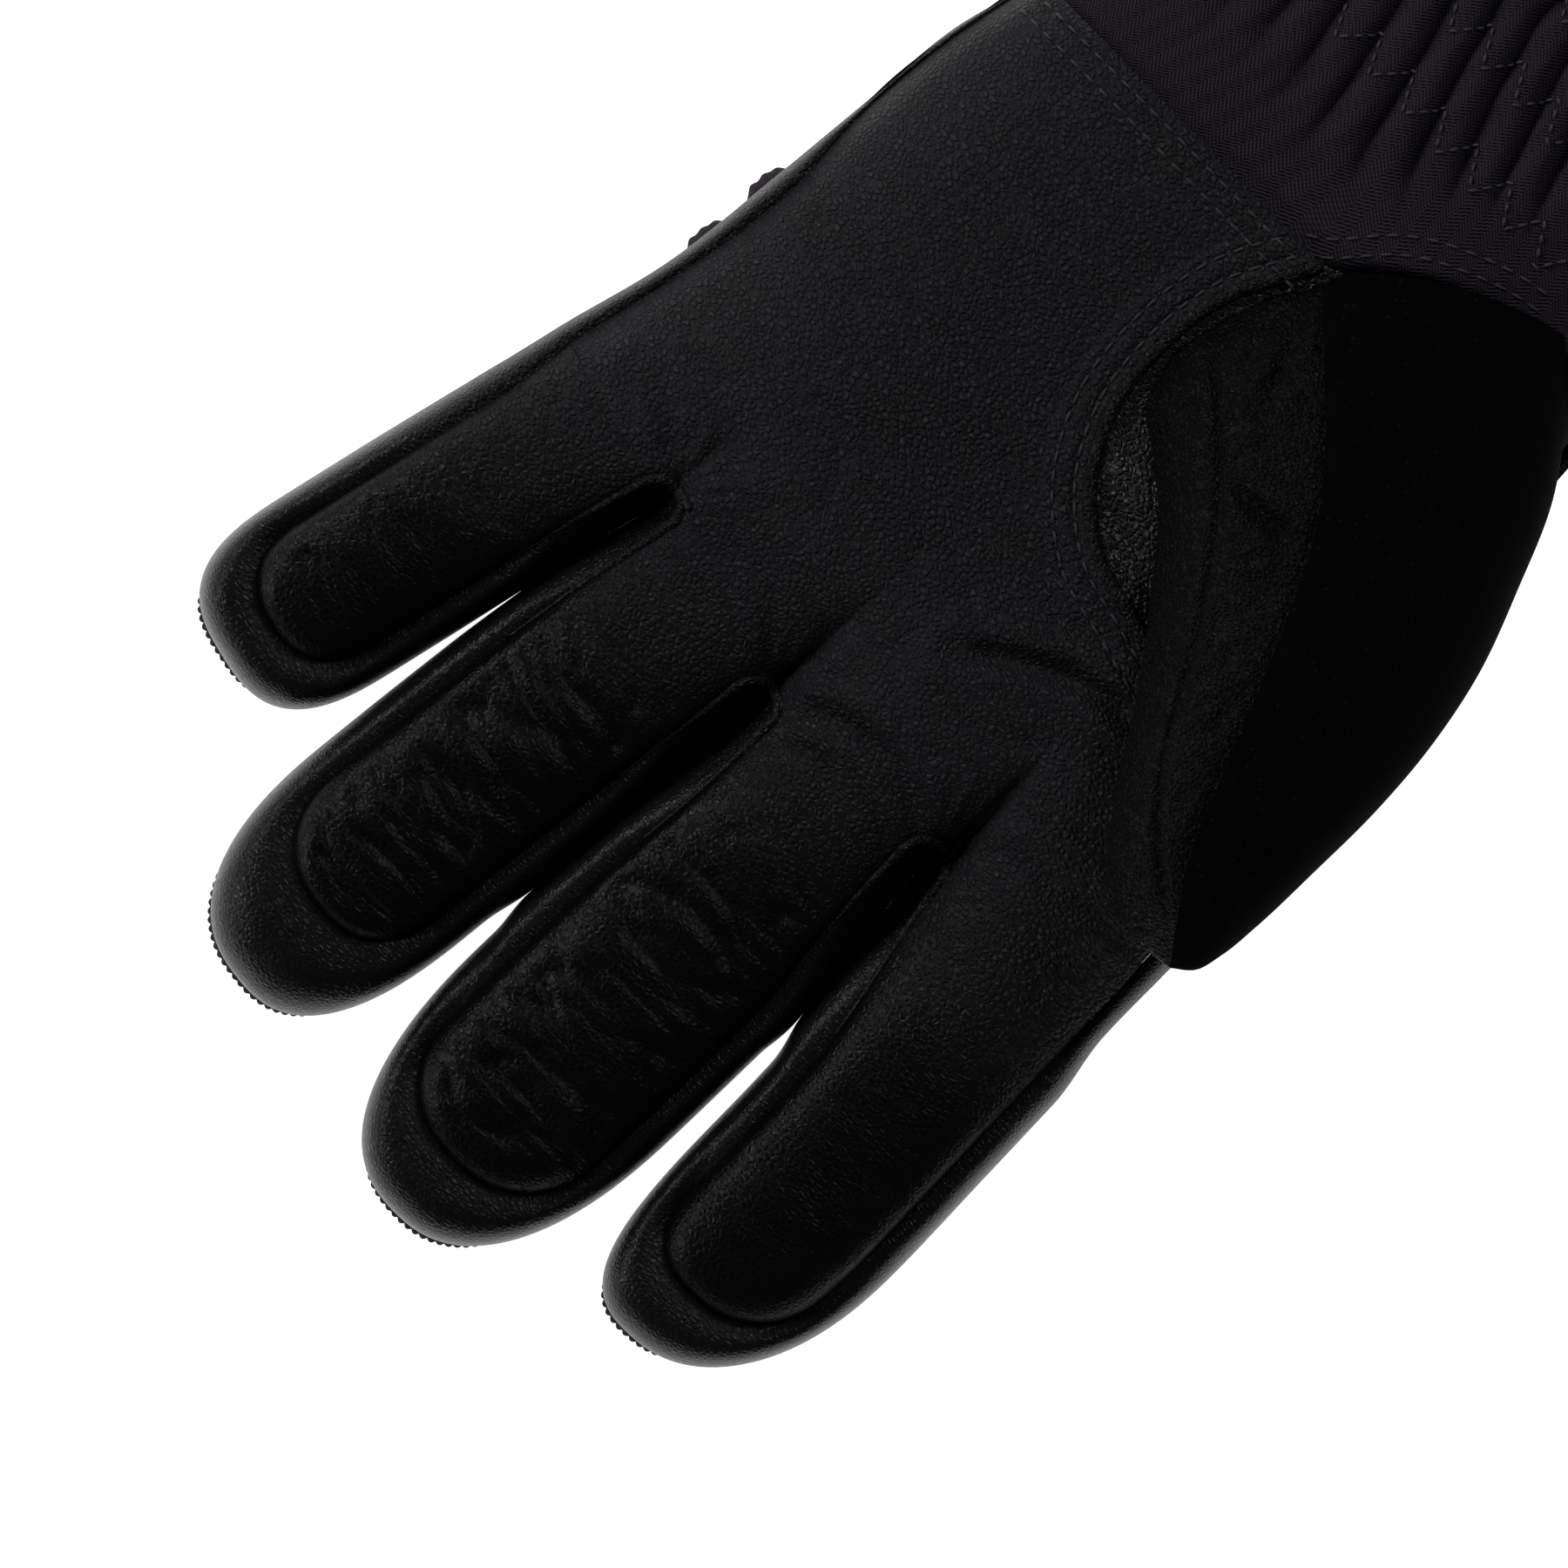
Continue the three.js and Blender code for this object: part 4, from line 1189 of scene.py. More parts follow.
def cuff_grid(x_from, x_to, rows, around, start, end, deep):
    """The sleeve's cloth between two angles: rows along X, columns round it spaced evenly along the section."""
    angle_fine = np.linspace(start, end, 1200)
    ring = cuff_section(np.full(1200, -80.0), angle_fine)
    run_fine = np.concatenate([[0], np.cumsum(np.linalg.norm(np.diff(ring, axis=0), axis=1))])
    run = np.linspace(0, run_fine[-1], around)
    a = np.interp(run, run_fine, angle_fine)
    x = np.linspace(0, 1, rows)[:, None] * (x_to - x_from) + x_from
    x, a = np.broadcast_arrays(x, a[None])
    p = cuff_section(x, a)
    e = 1e-3
    tangent = cuff_section(x, a + e) - cuff_section(x, a - e)
    out = np.stack([np.zeros_like(a), tangent[..., 2], -tangent[..., 1]], axis=-1)
    out /= np.maximum(np.linalg.norm(out, axis=-1, keepdims=True), 1e-12)
    r = np.broadcast_to(run[None], a.shape)
    past = cuff_seam_x(p[..., 1]) - x if start < 1 else -54.0 - x
    lift = gathers(x, r, deep, past) + 0.5 * (mottle(x / 20, r / 16, 94) - 0.5) - 2.6 * ease(0.6, -3.0, past)
    p = p + out * lift[..., None]
    p[..., 2] = np.maximum(p[..., 2], 0.4)
    # The laid place keeps the fold lift as its third number, from which the cloth's finish darkens the sunken folds as
    # painted shade.
    laid = np.stack([x, r, lift], axis=-1)
    return p, laid, run_fine[-1]


def cuff_seam_x(y):
    """Where the sleeve's front cloth meets the leather and the thumb, for each y."""
    return along(y, ((-58, -53.6), (-30, -55.0), (1.4, -56.9), (8.7, -64.6), (19, -70.8), (31.8, -74.9), (50, -71.0)))


# ---------------------------------------------------------------- stitches


def stitches(path, normals, length, gap, width, lift=0.1):
    """Separate stitches along a path: each a low rounded grain, its long way along the path and its top proud."""
    run = np.concatenate([[0], np.cumsum(np.linalg.norm(np.diff(path, axis=0), axis=1))])
    count = max(2, int(run[-1] / (length + gap)))
    at = (np.arange(count) + 0.5) / count * run[-1]
    where = np.stack([np.interp(at, run, path[:, k]) for k in range(3)], axis=1)
    back = np.stack([np.interp(at - length / 2, run, path[:, k]) for k in range(3)], axis=1)
    fore = np.stack([np.interp(at + length / 2, run, path[:, k]) for k in range(3)], axis=1)
    up = np.stack([np.interp(at, run, normals[:, k]) for k in range(3)], axis=1)
    up /= np.linalg.norm(up, axis=1, keepdims=True)
    ahead = fore - back
    ahead /= np.maximum(np.linalg.norm(ahead, axis=1, keepdims=True), 1e-9)
    side = np.cross(up, ahead)
    side /= np.maximum(np.linalg.norm(side, axis=1, keepdims=True), 1e-9)
    along_grain = np.linspace(-1, 1, 6)
    fat = np.sqrt(np.clip(1 - np.abs(along_grain) ** 2.5, 0.0, 1))
    fat[[0, -1]] = 0.05
    a = np.linspace(0, 2 * np.pi, 6, endpoint=False)
    ring_side, ring_up = np.cos(a), np.sin(a) * 0.8
    bow = (1 - along_grain**2) * 0.12
    grains = (
        where[:, None, None]
        + ahead[:, None, None] * (along_grain * length / 2)[None, :, None, None]
        + side[:, None, None] * (width / 2 * fat[:, None] * ring_side)[None, ..., None]
        + up[:, None, None] * (width / 2 * fat[:, None] * ring_up + bow[:, None] + lift)[None, ..., None]
    )
    n, m, k = grains.shape[:3]
    index = np.arange(n * m * k).reshape(n, m, k)
    index = np.concatenate([index, index[:, :, :1]], axis=2)
    quads = np.stack([index[:, :-1, :-1], index[:, :-1, 1:], index[:, 1:, 1:], index[:, 1:, :-1]], axis=-1)
    return Skin(grains.reshape(-1, 3), quads.reshape(-1, 4))


def pick(grid, i, j):
    """Values of a grid between its points, at row i and column j with fractions."""
    i0 = np.clip(np.floor(i).astype(int), 0, grid.shape[0] - 2)
    j0 = np.clip(np.floor(j).astype(int), 0, grid.shape[1] - 2)
    fi, fj = (i - i0)[:, None], (j - j0)[:, None]
    low = grid[i0, j0] * (1 - fi) + grid[i0 + 1, j0] * fi
    high = grid[i0, j0 + 1] * (1 - fi) + grid[i0 + 1, j0 + 1] * fi
    return low * (1 - fj) + high * fj


def gather_skins(skins):
    """Several skins in one mesh, left apart."""
    start = np.cumsum([0] + [len(s.points) for s in skins])
    faces = np.concatenate([s.faces + start[k] for k, s in enumerate(skins)])
    return Skin(np.concatenate([s.points for s in skins]), faces, np.concatenate([s.laid for s in skins])).shade()


def front_level(x, y):
    """Height of the finished palm leather, with its folded edges."""
    arc = from_line(x, y, HOLE)
    wrist = from_line(x, y, np.array(WRIST_SEAM))
    side = from_line(x, y, through(LITTLE_LINE, 60))
    z = front_height(x, y) + leather_wear(x, y)
    return z + hem_lift(arc) * ease(30, 10, x) + hem_lift(wrist) * ease(4, 10, side)


def facing(x, y, level):
    """Normals of a height function, from its differences a tenth of a millimetre each way."""
    e = 0.1
    dx = (level(x + e, y) - level(x - e, y)) / (2 * e)
    dy = (level(x, y + e) - level(x, y - e)) / (2 * e)
    n = np.stack([-dx, -dy, np.ones_like(dx)], axis=-1)
    return n / np.linalg.norm(n, axis=-1, keepdims=True)


def offset(line, by):
    """The line in plan moved sideways, to its right for a positive distance."""
    ahead = np.gradient(line, axis=0)
    ahead /= np.linalg.norm(ahead, axis=1, keepdims=True)
    return line + by * np.stack([ahead[:, 1], -ahead[:, 0]], axis=1)


# ---------------------------------------------------------------- sizes and colours


class GloveColours(bpy.types.PropertyGroup):
    leather: bpy.props.FloatVectorProperty(
        name="Leather", description="Hide of the palm, fingers and thumb", subtype="COLOR", size=3, min=0, max=1,
        default=(0.0040, 0.0040, 0.0045),
    )
    suede: bpy.props.FloatVectorProperty(
        name="Suede", description="Thumb patch", subtype="COLOR", size=3, min=0, max=1, default=(0.0012, 0.0012, 0.0012)
    )
    cloth: bpy.props.FloatVectorProperty(
        name="Cloth", description="Cuff and back", subtype="COLOR", size=3, min=0, max=1, default=(0.0140, 0.0108, 0.0155)
    )
    lining: bpy.props.FloatVectorProperty(
        name="Lining", description="Fleece inside the cuff", subtype="COLOR", size=3, min=0, max=1, default=(0.02, 0.02, 0.022)
    )
    thread: bpy.props.FloatVectorProperty(
        name="Leather thread", description="Stitches in leather", subtype="COLOR", size=3, min=0, max=1,
        default=(0.0120, 0.0120, 0.0160),
    )
    cloth_thread: bpy.props.FloatVectorProperty(
        name="Cloth thread", description="Zigzag stitches of the cuff", subtype="COLOR", size=3, min=0, max=1,
        default=(0.017, 0.016, 0.024),
    )


class GloveSizes(bpy.types.PropertyGroup):
    hide: bpy.props.FloatProperty(
        name="Hide thickness", description="Thickness of a leather panel", subtype="DISTANCE", unit="LENGTH", default=0.001
    )
    stitch: bpy.props.FloatProperty(
        name="Stitch length", description="Length of one stitch", subtype="DISTANCE", unit="LENGTH", default=0.0021
    )
    gather: bpy.props.FloatProperty(
        name="Gather depth", description="Height of the cuff's folds", subtype="DISTANCE", unit="LENGTH", default=0.0024
    )


# ---------------------------------------------------------------- operators


class GloveStage(bpy.types.Operator):
    """Lay the pale floor, hang the soft lights and set the camera above the palm"""

    bl_idname = "glove.stage"
    bl_label = "Stage"

    def execute(self, context):
        low = CAD_BOX[0].z / MM - 0.3
        n = 24
        g = np.linspace(-1, 1, n)
        x, y = np.meshgrid(g * 2200, g * 2200, indexing="ij")
        floor = build("floor", sheet(laid_over(np.stack([x, y], -1), np.full_like(x, low))), floor_finish("Floor"), "", 0)
        del floor["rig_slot"]
        context.scene.view_settings.view_transform = "Standard"
        world = bpy.data.worlds.new("Studio")
        context.scene.world = world
        world.use_nodes = True
        world.node_tree.nodes["Background"].inputs["Color"].default_value = (1, 1, 1, 1)
        world.node_tree.nodes["Background"].inputs["Strength"].default_value = 0.10
        for name, place, size, power in (
            ("key", (-0.10, -1.00, 0.68), 0.35, 6.0),
            ("tip", (0.85, -0.80, 0.60), 0.25, 5.0),
            ("cuff", (-0.75, 0.00, 0.85), 0.35, 3.0),
        ):
            light = bpy.data.lights.new(name, "AREA")
            light.shape, light.size, light.energy = "DISK", size, power
            lamp = bpy.data.objects.new(name, light)
            context.scene.collection.objects.link(lamp)
            aim = np.array([0.03, 0.0, 0.02]) - np.array(place)
            aim /= np.linalg.norm(aim)
            right = np.cross(aim, (0, 0, 1.0))
            right /= np.linalg.norm(right)
            up = np.cross(right, aim)
            lamp.matrix_world = Matrix(
                [(right[k], up[k], -aim[k], place[k]) for k in range(3)] + [(0, 0, 0, 1)]
            )
        camera = bpy.data.cameras.new("camera")
        camera.lens = 800
        seat = bpy.data.objects.new("camera", camera)
        context.scene.collection.objects.link(seat)
        reach = 0.2195 * camera.lens / camera.sensor_width
        right, up = (-0.7547, 0.6561, 0), (-0.6561, -0.7547, 0)
        back = (0, 0, 1)
        spot = (0.04765, 0.0072, 0.035 + reach)
        seat.matrix_world = Matrix([(right[k], up[k], back[k], spot[k]) for k in range(3)] + [(0, 0, 0, 1)])
        context.scene.camera = seat
        return {"FINISHED"}


class GlovePalm(bpy.types.Operator):
    """Cut the palm leather with its four finger fronts, the palm on the hand and each front in a root piece and an end
    piece
    """

    bl_idname = "glove.palm"
    bl_label = "Palm and finger fronts"

    def execute(self, context):
        thick = context.scene.glove_sizes.hide / MM
        whole, owner = front_skin()
        palm = build("palm_leather", whole.part(owner == 0), finish("palm_leather"), "leather", thick)
        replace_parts(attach(palm, "hand"), "palm_panel", "palm_lining")
        for index, finger in enumerate(FINGERS):
            near, far = halves(finger, whole, owner == index + 1)
            name = finger.name
            piece = build(name + "_front_root_leather", whole.part(near), finish("palm_leather"), "leather", thick)
            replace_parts(hang(piece, finger, False), name + "_base_front")
            piece = build(name + "_front_end_leather", whole.part(far), finish("palm_leather"), "leather", thick)
            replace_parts(hang(piece, finger, True), name + "_tip_front")
        return {"FINISHED"}


class GloveSides(bpy.types.Operator):
    """Wrap the side strips round the fingers and along the two sides of the hand"""

    bl_idname = "glove.sides"
    bl_label = "Side strips"

    def execute(self, context):
        thick = context.scene.glove_sizes.hide / MM
        for index, finger in enumerate(FINGERS):
            skin = strip_skin(index)
            c = skin.centres()
            hand = np.zeros(len(c), bool)
            if index == 0:
                hand = c[:, 0] < 29.5
            if index == 3:
                hand = (c[:, 0] < 36.5) & (c[:, 1] > 40)
            near, far = halves(finger, skin, ~hand)
            name = finger.name
            if hand.any():
                piece = build(name + "_hand_side_leather", skin.part(hand), finish("side_leather"), "leather", thick)
                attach(piece, "hand")
                gone = ["little_side_panel"] if index == 0 else ["index_side_panel"]
                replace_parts(piece, *gone)
            piece = build(name + "_side_root_leather", skin.part(near), finish("side_leather"), "leather", thick)
            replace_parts(hang(piece, finger, False), name + "_base_inner_side", name + "_base_outer_side")
            piece = build(name + "_side_end_leather", skin.part(far), finish("side_leather"), "leather", thick)
            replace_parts(hang(piece, finger, True), name + "_tip_wrap")
            for side, word in ((-1, "little_side"), (1, "thumb_side")):
                if (index, side) in ((0, -1), (3, 1)):
                    continue
                u0 = finger.local(*(CROTCHES[index - 1] if side < 0 else CROTCHES[index]))[0]
                line, radius = welt_line(index, side, (finger.flex_room[1] + finger.knuckle_room[0]) / 2 - u0)
                roll = build(f"{name}_{word}_welt", tube(line, radius, 10), finish("side_leather"), "leather", 0)
                hang(roll, finger, False)
        return {"FINISHED"}


class GloveBack(bpy.types.Operator):
    """Cut the cloth back of the hand and fingers, with the corded edge at the fingertips"""

    bl_idname = "glove.back"
    bl_label = "Back"

    def execute(self, context):
        little = ((-52.0, -51.9), (-36.0, -53.1), (-22.0, -54.1), (-8.4, -54.5), (10.0, -55.5), LITTLE_LINE[-1])
        index_side = ((-60.0, 44.0), (-30.0, 48.5), (0.0, 55.0), (20.0, 58.5), (37.0, 60.5))
        bottom = (little[0], index_side[0])
        plan = palm_grid(bottom, index_side, little)[::2]
        grids = [plan]
        for index in range(4):
            plan, _ = finger_grids(index, BACK_INSET, BACK_TOE, BACK_ARC)
            grids.append(plan)
        skins = []
        for plan in grids:
            x, y = plan[..., 0], plan[..., 1]
            z = back_height(x, y) + 0.25 * (mottle(x / 9, y / 9, 61) - 0.3)
            skins.append(sheet(laid_over(plan, np.maximum(z, 0.35)), flip=True))
        counts = np.cumsum([0] + [len(s.faces) for s in skins])
        whole = sewn(skins).shade()
        owner = np.concatenate([np.full(counts[k + 1] - counts[k], k) for k in range(5)])
        piece = build("hand_back_cloth", whole.part(owner == 0), finish("twill"), "fabric")
        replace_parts(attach(piece, "hand"), "back_panel", "back_insulation", "knuckle_elastic")
        for k, finger in enumerate(FINGERS):
            near, far = halves(finger, whole, owner == k + 1)
            piece = build(finger.name + "_back_root_cloth", whole.part(near), finish("twill"), "fabric")
            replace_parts(hang(piece, finger, False), finger.name + "_base_back")
            piece = build(finger.name + "_back_end_cloth", whole.part(far), finish("twill"), "fabric")
            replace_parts(hang(piece, finger, True), finger.name + "_tip_back")
        x = np.linspace(-15, 13, 260)
        line = np.stack([x, along(x, PALM_LEFT) + 0.9], axis=1)
        lobes = np.exp(-(((x + 5.8) / 4.2) ** 4)) + 0.9 * np.exp(-(((x - 5.4) / 4.0) ** 4))
        proud = -1.0 + 3.2 * lobes + 0.15 * lobes * np.sin(2 * np.pi * x / 2.3)
        b = np.linspace(0, np.pi, 21)
        out = proud[:, None] * np.sin(b)[None] - 3.0 * (1 - np.sin(b)[None])
        plan = np.stack([np.broadcast_to(line[:, :1], out.shape), line[:, 1:] - out], axis=-1)
        under = back_height(plan[:, :1, 0], plan[:, :1, 1])
        z = under + 6.5 * (1 - np.cos(b)[None]) + 0 * out
        laid = np.stack([np.broadcast_to(x[:, None], z.shape), np.broadcast_to(b[None] * 6, z.shape), 0 * z], axis=-1)
        piece = build("knuckle_gather_cloth", sheet(laid_over(plan, z), laid), finish("twill"), "fabric")
        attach(piece, "hand")
        for finger, spread, centre in (
            (FINGERS[0], 0.55, -0.15),
            (FINGERS[1], 0.95, -0.10),
            (FINGERS[2], 0.60, 0.15),
            (FINGERS[3], 0.45, -0.10),
        ):
            a = np.linspace(-spread, spread, 220) + centre
            t = np.sign(np.sin(a)) * np.abs(np.sin(a)) ** (2 / finger.blunt)
            u = finger.turn + finger.nose * np.abs(np.cos(a)) ** (2 / finger.blunt)
            line = finger.place(u, finger.middle(u) + finger.girth(finger.turn) * t)
            run = np.concatenate([[0], np.cumsum(np.linalg.norm(np.diff(line, axis=0), axis=1))])
            fade = np.sin(np.pi * np.linspace(0, 1, 220)) ** 0.5
            tooth = np.abs(np.sin(np.pi * run / 1.25)) ** 0.8
            proud = (0.25 + 0.45 * tooth) * fade - 0.9 * (1 - fade)
            b = np.linspace(0, np.pi, 13)
            outward = np.gradient(line, axis=0)
            outward = np.stack([outward[:, 1], -outward[:, 0]], axis=1)
            outward /= np.linalg.norm(outward, axis=1, keepdims=True)
            plan = line[:, None] + outward[:, None] * (
                proud[:, None] * np.sin(b)[None] ** 0.7 - 3.0 * (1 - np.sin(b)[None] ** 0.7)
            )[..., None]
            under = back_height(plan[:, :1, 0], plan[:, :1, 1])
            z = under - 0.2 + 3.0 * (1 - np.cos(b)[None]) + np.zeros_like(plan[..., 0])
            laid = np.stack([np.broadcast_to(run[:, None], z.shape), np.broadcast_to(b[None] * 3, z.shape), z * 0], -1)
            piece = build(finger.name + "_corded_edge", sheet(laid_over(plan, z), laid), finish("cord_cloth"), "fabric")
            hang(piece, finger, True)
        return {"FINISHED"}


class GloveThumb(bpy.types.Operator):
    """Fold the thumb from its inner strip, middle strip and suede patch, over the gusset floor in the palm's hole"""

    bl_idname = "glove.thumb"
    bl_label = "Thumb"

    def execute(self, context):
        first, second = seam_angle(SEAM_A), seam_angle(SEAM_B)
        ones = np.ones(THUMB_ROWS)
        inner = sheet(thumb_panel(first, ones * 1.18 * np.pi, 34, "inner"), flip=True).shade()
        middle = sheet(thumb_panel(second, first, 40, "middle"), flip=True).shade()
        patch = sheet(thumb_panel(ones * -0.16 * np.pi, second, 70, "suede"), flip=True).shade()
        under = sheet(thumb_panel(ones * 1.18 * np.pi, ones * 1.84 * np.pi, 40, "under"), flip=True).shade()
        build_thumb_part("thumb_inner_leather", inner, "thumb_leather", "leather", ["thumb_base_inner_panel"], ["thumb_tip_wrap"])
        build_thumb_part("thumb_middle_leather", middle, "thumb_leather", "leather", ["thumb_base_middle_strip"], [])
        build_thumb_part("thumb_suede", patch, "suede", "suede", ["thumb_base_suede_patch"], ["thumb_tip_suede_patch"])
        build_thumb_part("thumb_under_leather", under, "side_leather", "leather", ["thumb_base_outer_side"], ["thumb_tip_under_panel"])
        # gusset floor: from the hole's edge down under the thumb and across to the index side of the hand
        edge = through(HOLE_LINE[:10], 90)
        far = through(((-60.0, 8.0), (-62.0, 28.0), (-58.0, 44.0), (-30.0, 48.5), (0.0, 53.0), (12.0, 54.0)), 90)
        q = np.linspace(0, 1, 50) ** 1.5
        plan = edge[:, None] + (far - edge)[:, None] * q[None, :, None]
        away = np.linalg.norm(plan - edge[:, None], axis=-1)
        start = front_level(edge[:, 0], edge[:, 1])[:, None]
        z = start - 0.3 - 0.9 * ease(0, 6, away) - 9.0 * ease(9, 40, away)
        z += 0.5 * (mottle(plan[..., 0] / 4, plan[..., 1] / 6, 77) - 0.5) * ease(1, 4, away)
        z += 0.9 * np.exp(-((plan[..., 0] + 16) / 3.0) ** 2) * ease(0.5, 3, away)
        gusset = build("thumb_gusset_leather", sheet(laid_over(plan, z), flip=False), finish("gusset_leather"), "leather")
        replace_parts(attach(gusset, "hand"), "thumb_gusset")
        bead = through(HOLE_LINE[:9], 170)
        z = front_level(bead[:, 0], bead[:, 1]) - 0.1
        roll = build("thumb_hole_roll", tube(laid_over(bead, z), 1.15, 12), finish("side_leather"), "leather", 0)
        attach(roll, "hand")
        return {"FINISHED"}


class GloveCuff(bpy.types.Operator):
    """Sew the gathered cloth sleeve, its hem, fleece lining and pull loop"""

    bl_idname = "glove.cuff"
    bl_label = "Cuff"

    def execute(self, context):
        deep = context.scene.glove_sizes.gather / MM
        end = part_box("cuff_hem_binding")
        hem_x = end[0].x / MM
        front, laid, _ = cuff_grid(-44.0, hem_x + 1.2, 195, 250, 0.0, np.pi, deep)
        rear, laid_rear, _ = cuff_grid(-44.0, hem_x + 1.2, 200, 200, np.pi, 2 * np.pi, deep * 0.7)
        pieces = (
            ("cuff_front_cloth", front, laid, ("cuff_front_panel", "cuff_little_side", "wrist_front_panel", "wrist_little_side")),
            ("cuff_back_cloth", rear, laid_rear, ("cuff_back_panel", "cuff_thumb_side", "wrist_back_panel", "wrist_thumb_side")),
        )
        for name, grid, flat, gone in pieces:
            piece = build(name, sheet(grid, flat), finish("twill"), "fabric")
            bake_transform(piece)
            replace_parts(piece, *gone)
        a = np.linspace(0, 2 * np.pi, 240, endpoint=False)
        xs = np.linspace(hem_x + 1.0, -100.0, 60)
        x, aa = np.meshgrid(xs, a, indexing="ij")
        inner = cuff_section(x, aa, 3.2)
        inner[..., 1:] += 0.3 * (mottle(x / 2.5, aa * 20, 97) - 0.5)[..., None]
        lining = build("cuff_lining_fleece", sheet(inner, closed=True), finish("fleece"), "fleece", 0.8)
        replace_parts(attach(lining, "cuff"), "cuff_front_lining", "cuff_back_lining", "cuff_elastic", "wrist_elastic")
        b = np.linspace(0, 2 * np.pi, 16, endpoint=False)
        ring = cuff_section(np.full(240, hem_x + 2.6), a)
        tangent = cuff_section(np.full(240, hem_x + 2.6), a + 1e-3) - cuff_section(np.full(240, hem_x + 2.6), a - 1e-3)
        out = np.stack([0 * a, tangent[:, 2], -tangent[:, 1]], axis=1)
        out /= np.linalg.norm(out, axis=1, keepdims=True)
        ring -= out * 1.4
        binding = (
            ring[:, None]
            + np.array([1.0, 0, 0])[None, None] * (2.6 * np.sign(np.cos(b)) * np.abs(np.cos(b)) ** 0.7)[None, :, None]
            + out[:, None] * (2.6 * np.sin(b))[None, :, None]
        )
        binding[..., 2] = np.maximum(binding[..., 2], 0.05)
        grid = np.concatenate([binding, binding[:1]])
        run = np.concatenate([[0], np.cumsum(np.linalg.norm(np.diff(ring, axis=0), axis=1))])
        run = np.concatenate([run, [run[-1] + 1.4]])
        flat = np.stack([np.broadcast_to(run[:, None], grid.shape[:2]), np.broadcast_to(b[None] * 3, grid.shape[:2]), grid[..., 0] * 0], -1)
        hem = build("cuff_hem_binding_tape", sheet(grid, flat, closed=True, flip=False), finish("webbing"), "elastic", 0)
        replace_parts(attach(hem, "cuff"), "cuff_hem_binding")
        low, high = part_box("pull_loop")
        self.loop(np.array(low) / MM, np.array(high) / MM)
        return {"FINISHED"}

    def loop(self, low, high):
        """A flat webbing strap folded back on itself: a ribbon along a long narrow bend."""
        mid_y, half = (low[1] + high[1]) / 2, (high[1] - low[1]) / 2
        z0 = (low[2] + high[2]) / 2
        s = np.linspace(0, 1, 120)
        a = s * np.pi
        out = np.stack([high[0] - (high[0] - low[0] - 1.0) * np.sin(a) ** 0.5, mid_y - (half - 2.6) * np.cos(a) ** 1.0, z0 + 0 * a], axis=1)
        ahead = np.gradient(out, axis=0)
        ahead /= np.linalg.norm(ahead, axis=1, keepdims=True)
        side = np.cross(ahead, (0, 0, 1.0))
        b = np.linspace(0, 2 * np.pi, 14, endpoint=False)
        c, d = np.cos(b), np.sin(b)
        c, d = np.sign(c) * np.abs(c) ** 0.5, np.sign(d) * np.abs(d) ** 0.5
        grid = out[:, None] + side[:, None] * (0.8 * c)[None, :, None] + np.array([0, 0, 1.0]) * (4.5 * d)[None, :, None]
        run = np.concatenate([[0], np.cumsum(np.linalg.norm(np.diff(out, axis=0), axis=1))])
        flat = np.stack([np.broadcast_to(run[:, None], grid.shape[:2]), np.broadcast_to((4.5 * d)[None], grid.shape[:2]), grid[..., 0] * 0], -1)
        piece = build("pull_loop_webbing", sheet(grid, flat, closed=True), finish("webbing"), "elastic", 0)
        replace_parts(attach(piece, "cuff"), "pull_loop")


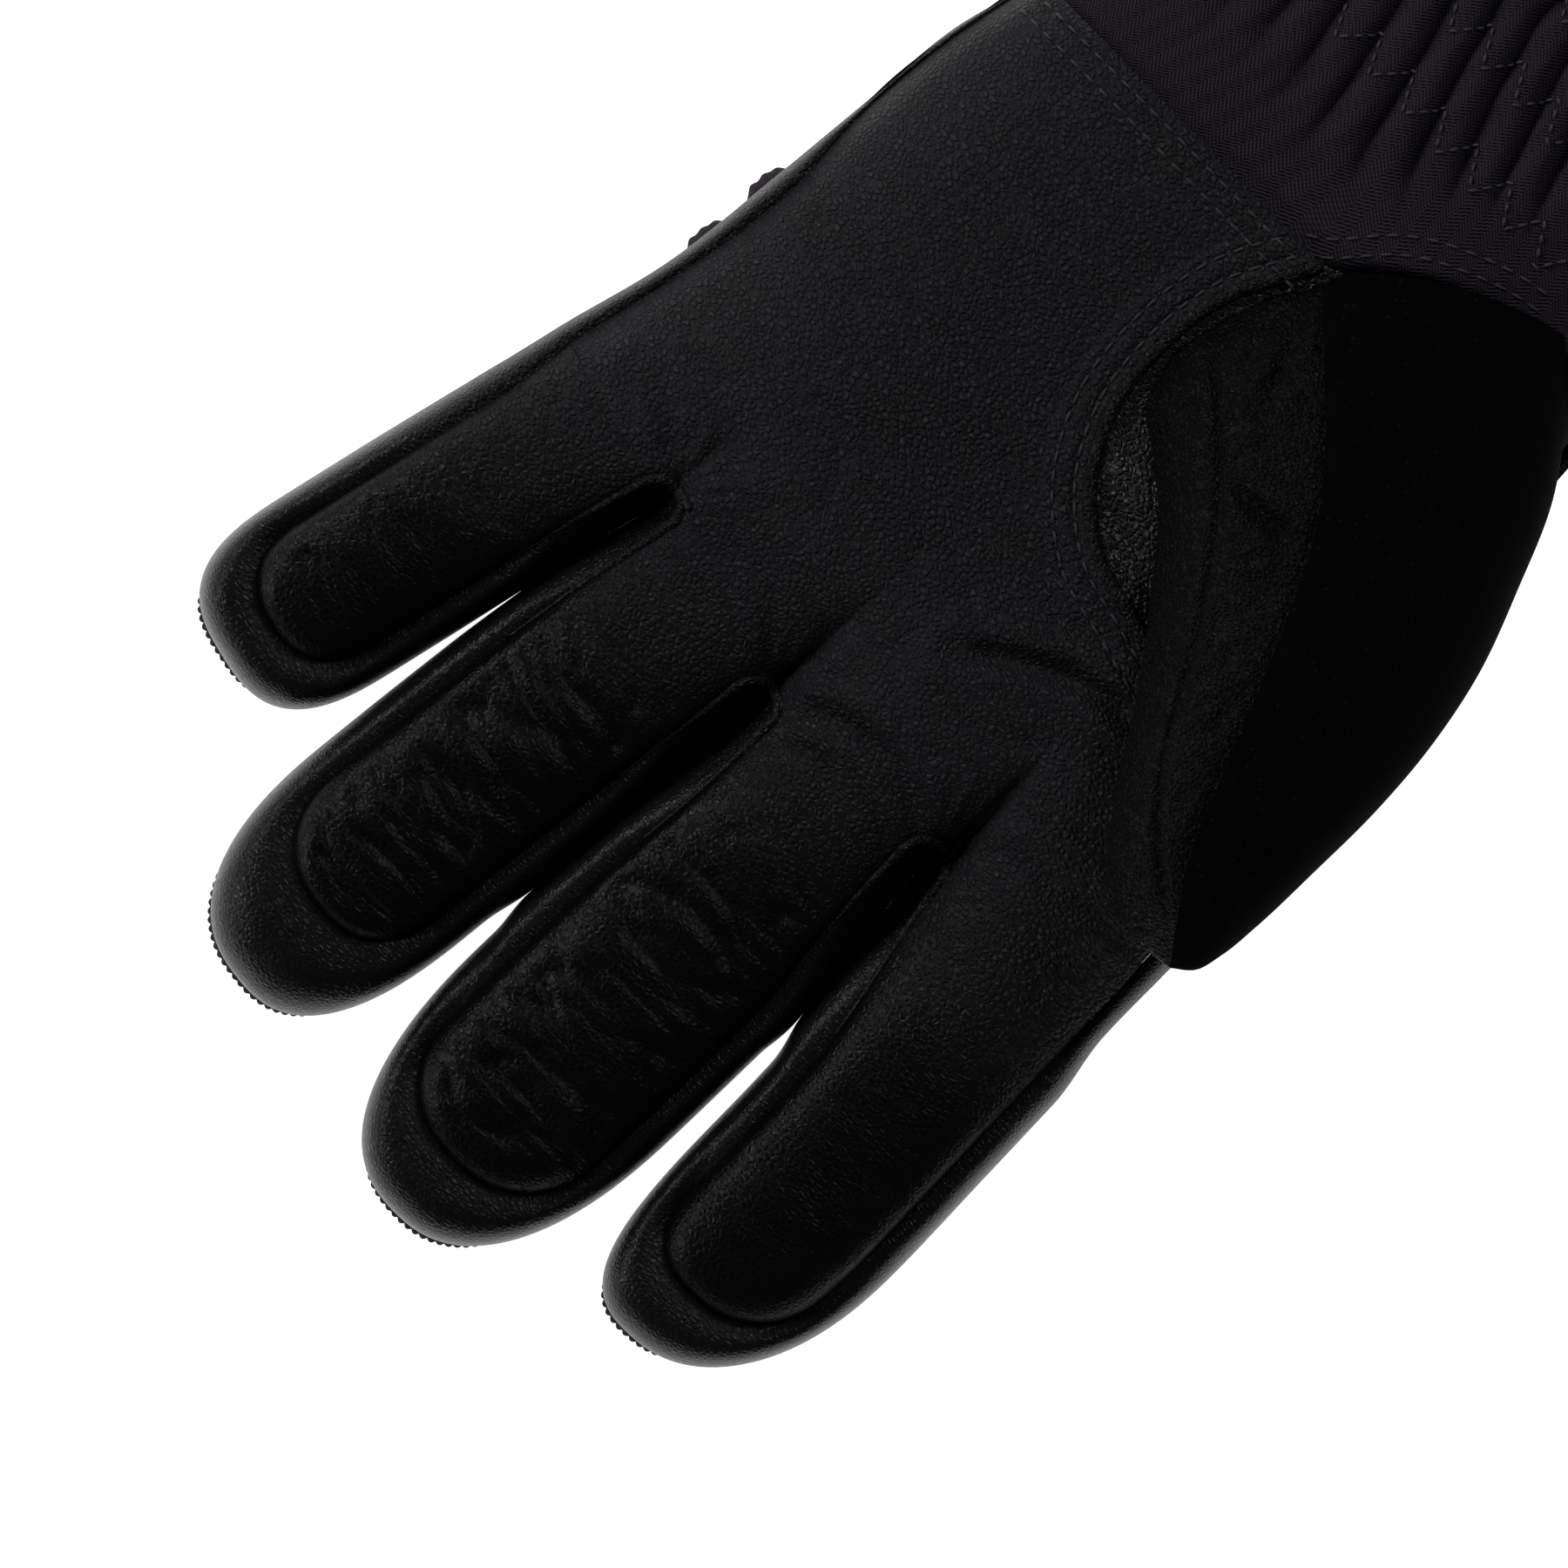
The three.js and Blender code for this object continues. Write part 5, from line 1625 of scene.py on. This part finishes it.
class GloveStitches(bpy.types.Operator):
    """Run the stitches: two rows round the thumb hole, two along the wrist, and the cuff's zigzags"""

    bl_idname = "glove.stitches"
    bl_label = "Stitches"

    def execute(self, context):
        length = context.scene.glove_sizes.stitch / MM
        rows = []
        arc = through(HOLE_LINE[:8], 300)
        wrist = through(WRIST_SEAM, 200)
        for line in (offset(arc, 2.1), offset(arc, 5.2), offset(wrist, 2.1), offset(wrist, 5.2)):
            line = line[(line[:, 0] > -55.6) & (line[:, 1] > -53.5)]
            x, y = line[:, 0], line[:, 1]
            z = front_level(x, y)
            rows.append(stitches(laid_over(line, z), facing(x, y, front_level), length, 0.7, 0.5, 0.08))
        seams = build("palm_stitches", gather_skins(rows), finish("thread"), "leather", 0)
        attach(seams, "hand")
        deep = context.scene.glove_sizes.gather / MM
        grid, laid, run = cuff_grid(-44.0, -130.0, 430, 700, 0.0, np.pi, deep)
        normal = np.cross(np.gradient(grid, axis=0), np.gradient(grid, axis=1))
        normal /= np.linalg.norm(normal, axis=-1, keepdims=True)
        zig = []
        first = np.interp(21.0, -grid[180, :, 1], laid[180, :, 1])
        for row in range(4):
            r = np.linspace(8, run - 8, 2600)
            phase = ((r - first) / FOLD_PITCH + 0.35 * row) % 1.0
            saw = np.where(phase < 0.5, phase * 2, 2 - phase * 2)
            x = -79.2 - 12.6 * row - 5.4 * saw
            i = (x + 44.0) / -86.0 * 429
            j = r / run * 699
            zig.append(stitches(pick(grid, i, j), pick(normal, i, j), 1.5, 0.5, 0.55, 0.15))
        y = np.linspace(-1.5, 30.0, 300)
        for back in (-0.9, -3.4):
            edge = offset(np.stack([cuff_seam_x(y), y], axis=1), back)
            i = np.clip((edge[:, 0] + 44.0) / -86.0 * 429, 0, 428)
            j = np.interp(-edge[:, 1], -grid[80, :, 1], np.arange(700.0))
            zig.append(stitches(pick(grid, i, j), pick(normal, i, j), 2.0, 0.7, 0.5, 0.1))
        piece = build("cuff_zigzag_stitches", gather_skins(zig), finish("cloth_thread"), "fabric", 0)
        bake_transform(piece)
        return {"FINISHED"}


class GlovePanel(bpy.types.Panel):
    """The glove's sizes, colours and making steps"""

    bl_idname = "VIEW3D_PT_ski_glove"
    bl_label = "Ski glove"
    bl_space_type = "VIEW_3D"
    bl_region_type = "UI"
    bl_category = "Ski glove"

    def draw(self, context):
        for group in (context.scene.glove_sizes, context.scene.glove_colours):
            for key in group.bl_rna.properties.keys():
                if key not in ("rna_type", "name"):
                    self.layout.prop(group, key)
        for step in STEPS:
            self.layout.operator(step.bl_idname)


STEPS = (GloveStage, GlovePalm, GloveSides, GloveBack, GloveThumb, GloveCuff, GloveStitches)
CLASSES = (GloveColours, GloveSizes, *STEPS, GlovePanel)


def register():
    for kind in CLASSES:
        bpy.utils.register_class(kind)
    bpy.types.Scene.glove_colours = bpy.props.PointerProperty(type=GloveColours)
    bpy.types.Scene.glove_sizes = bpy.props.PointerProperty(type=GloveSizes)


def unregister():
    del bpy.types.Scene.glove_colours
    del bpy.types.Scene.glove_sizes
    for kind in reversed(CLASSES):
        bpy.utils.unregister_class(kind)


def main():
    """Registers the glove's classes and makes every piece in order."""
    register()
    for step in STEPS:
        group, name = step.bl_idname.split(".")
        getattr(getattr(bpy.ops, group), name)()


if __name__ == "__main__":
    main()
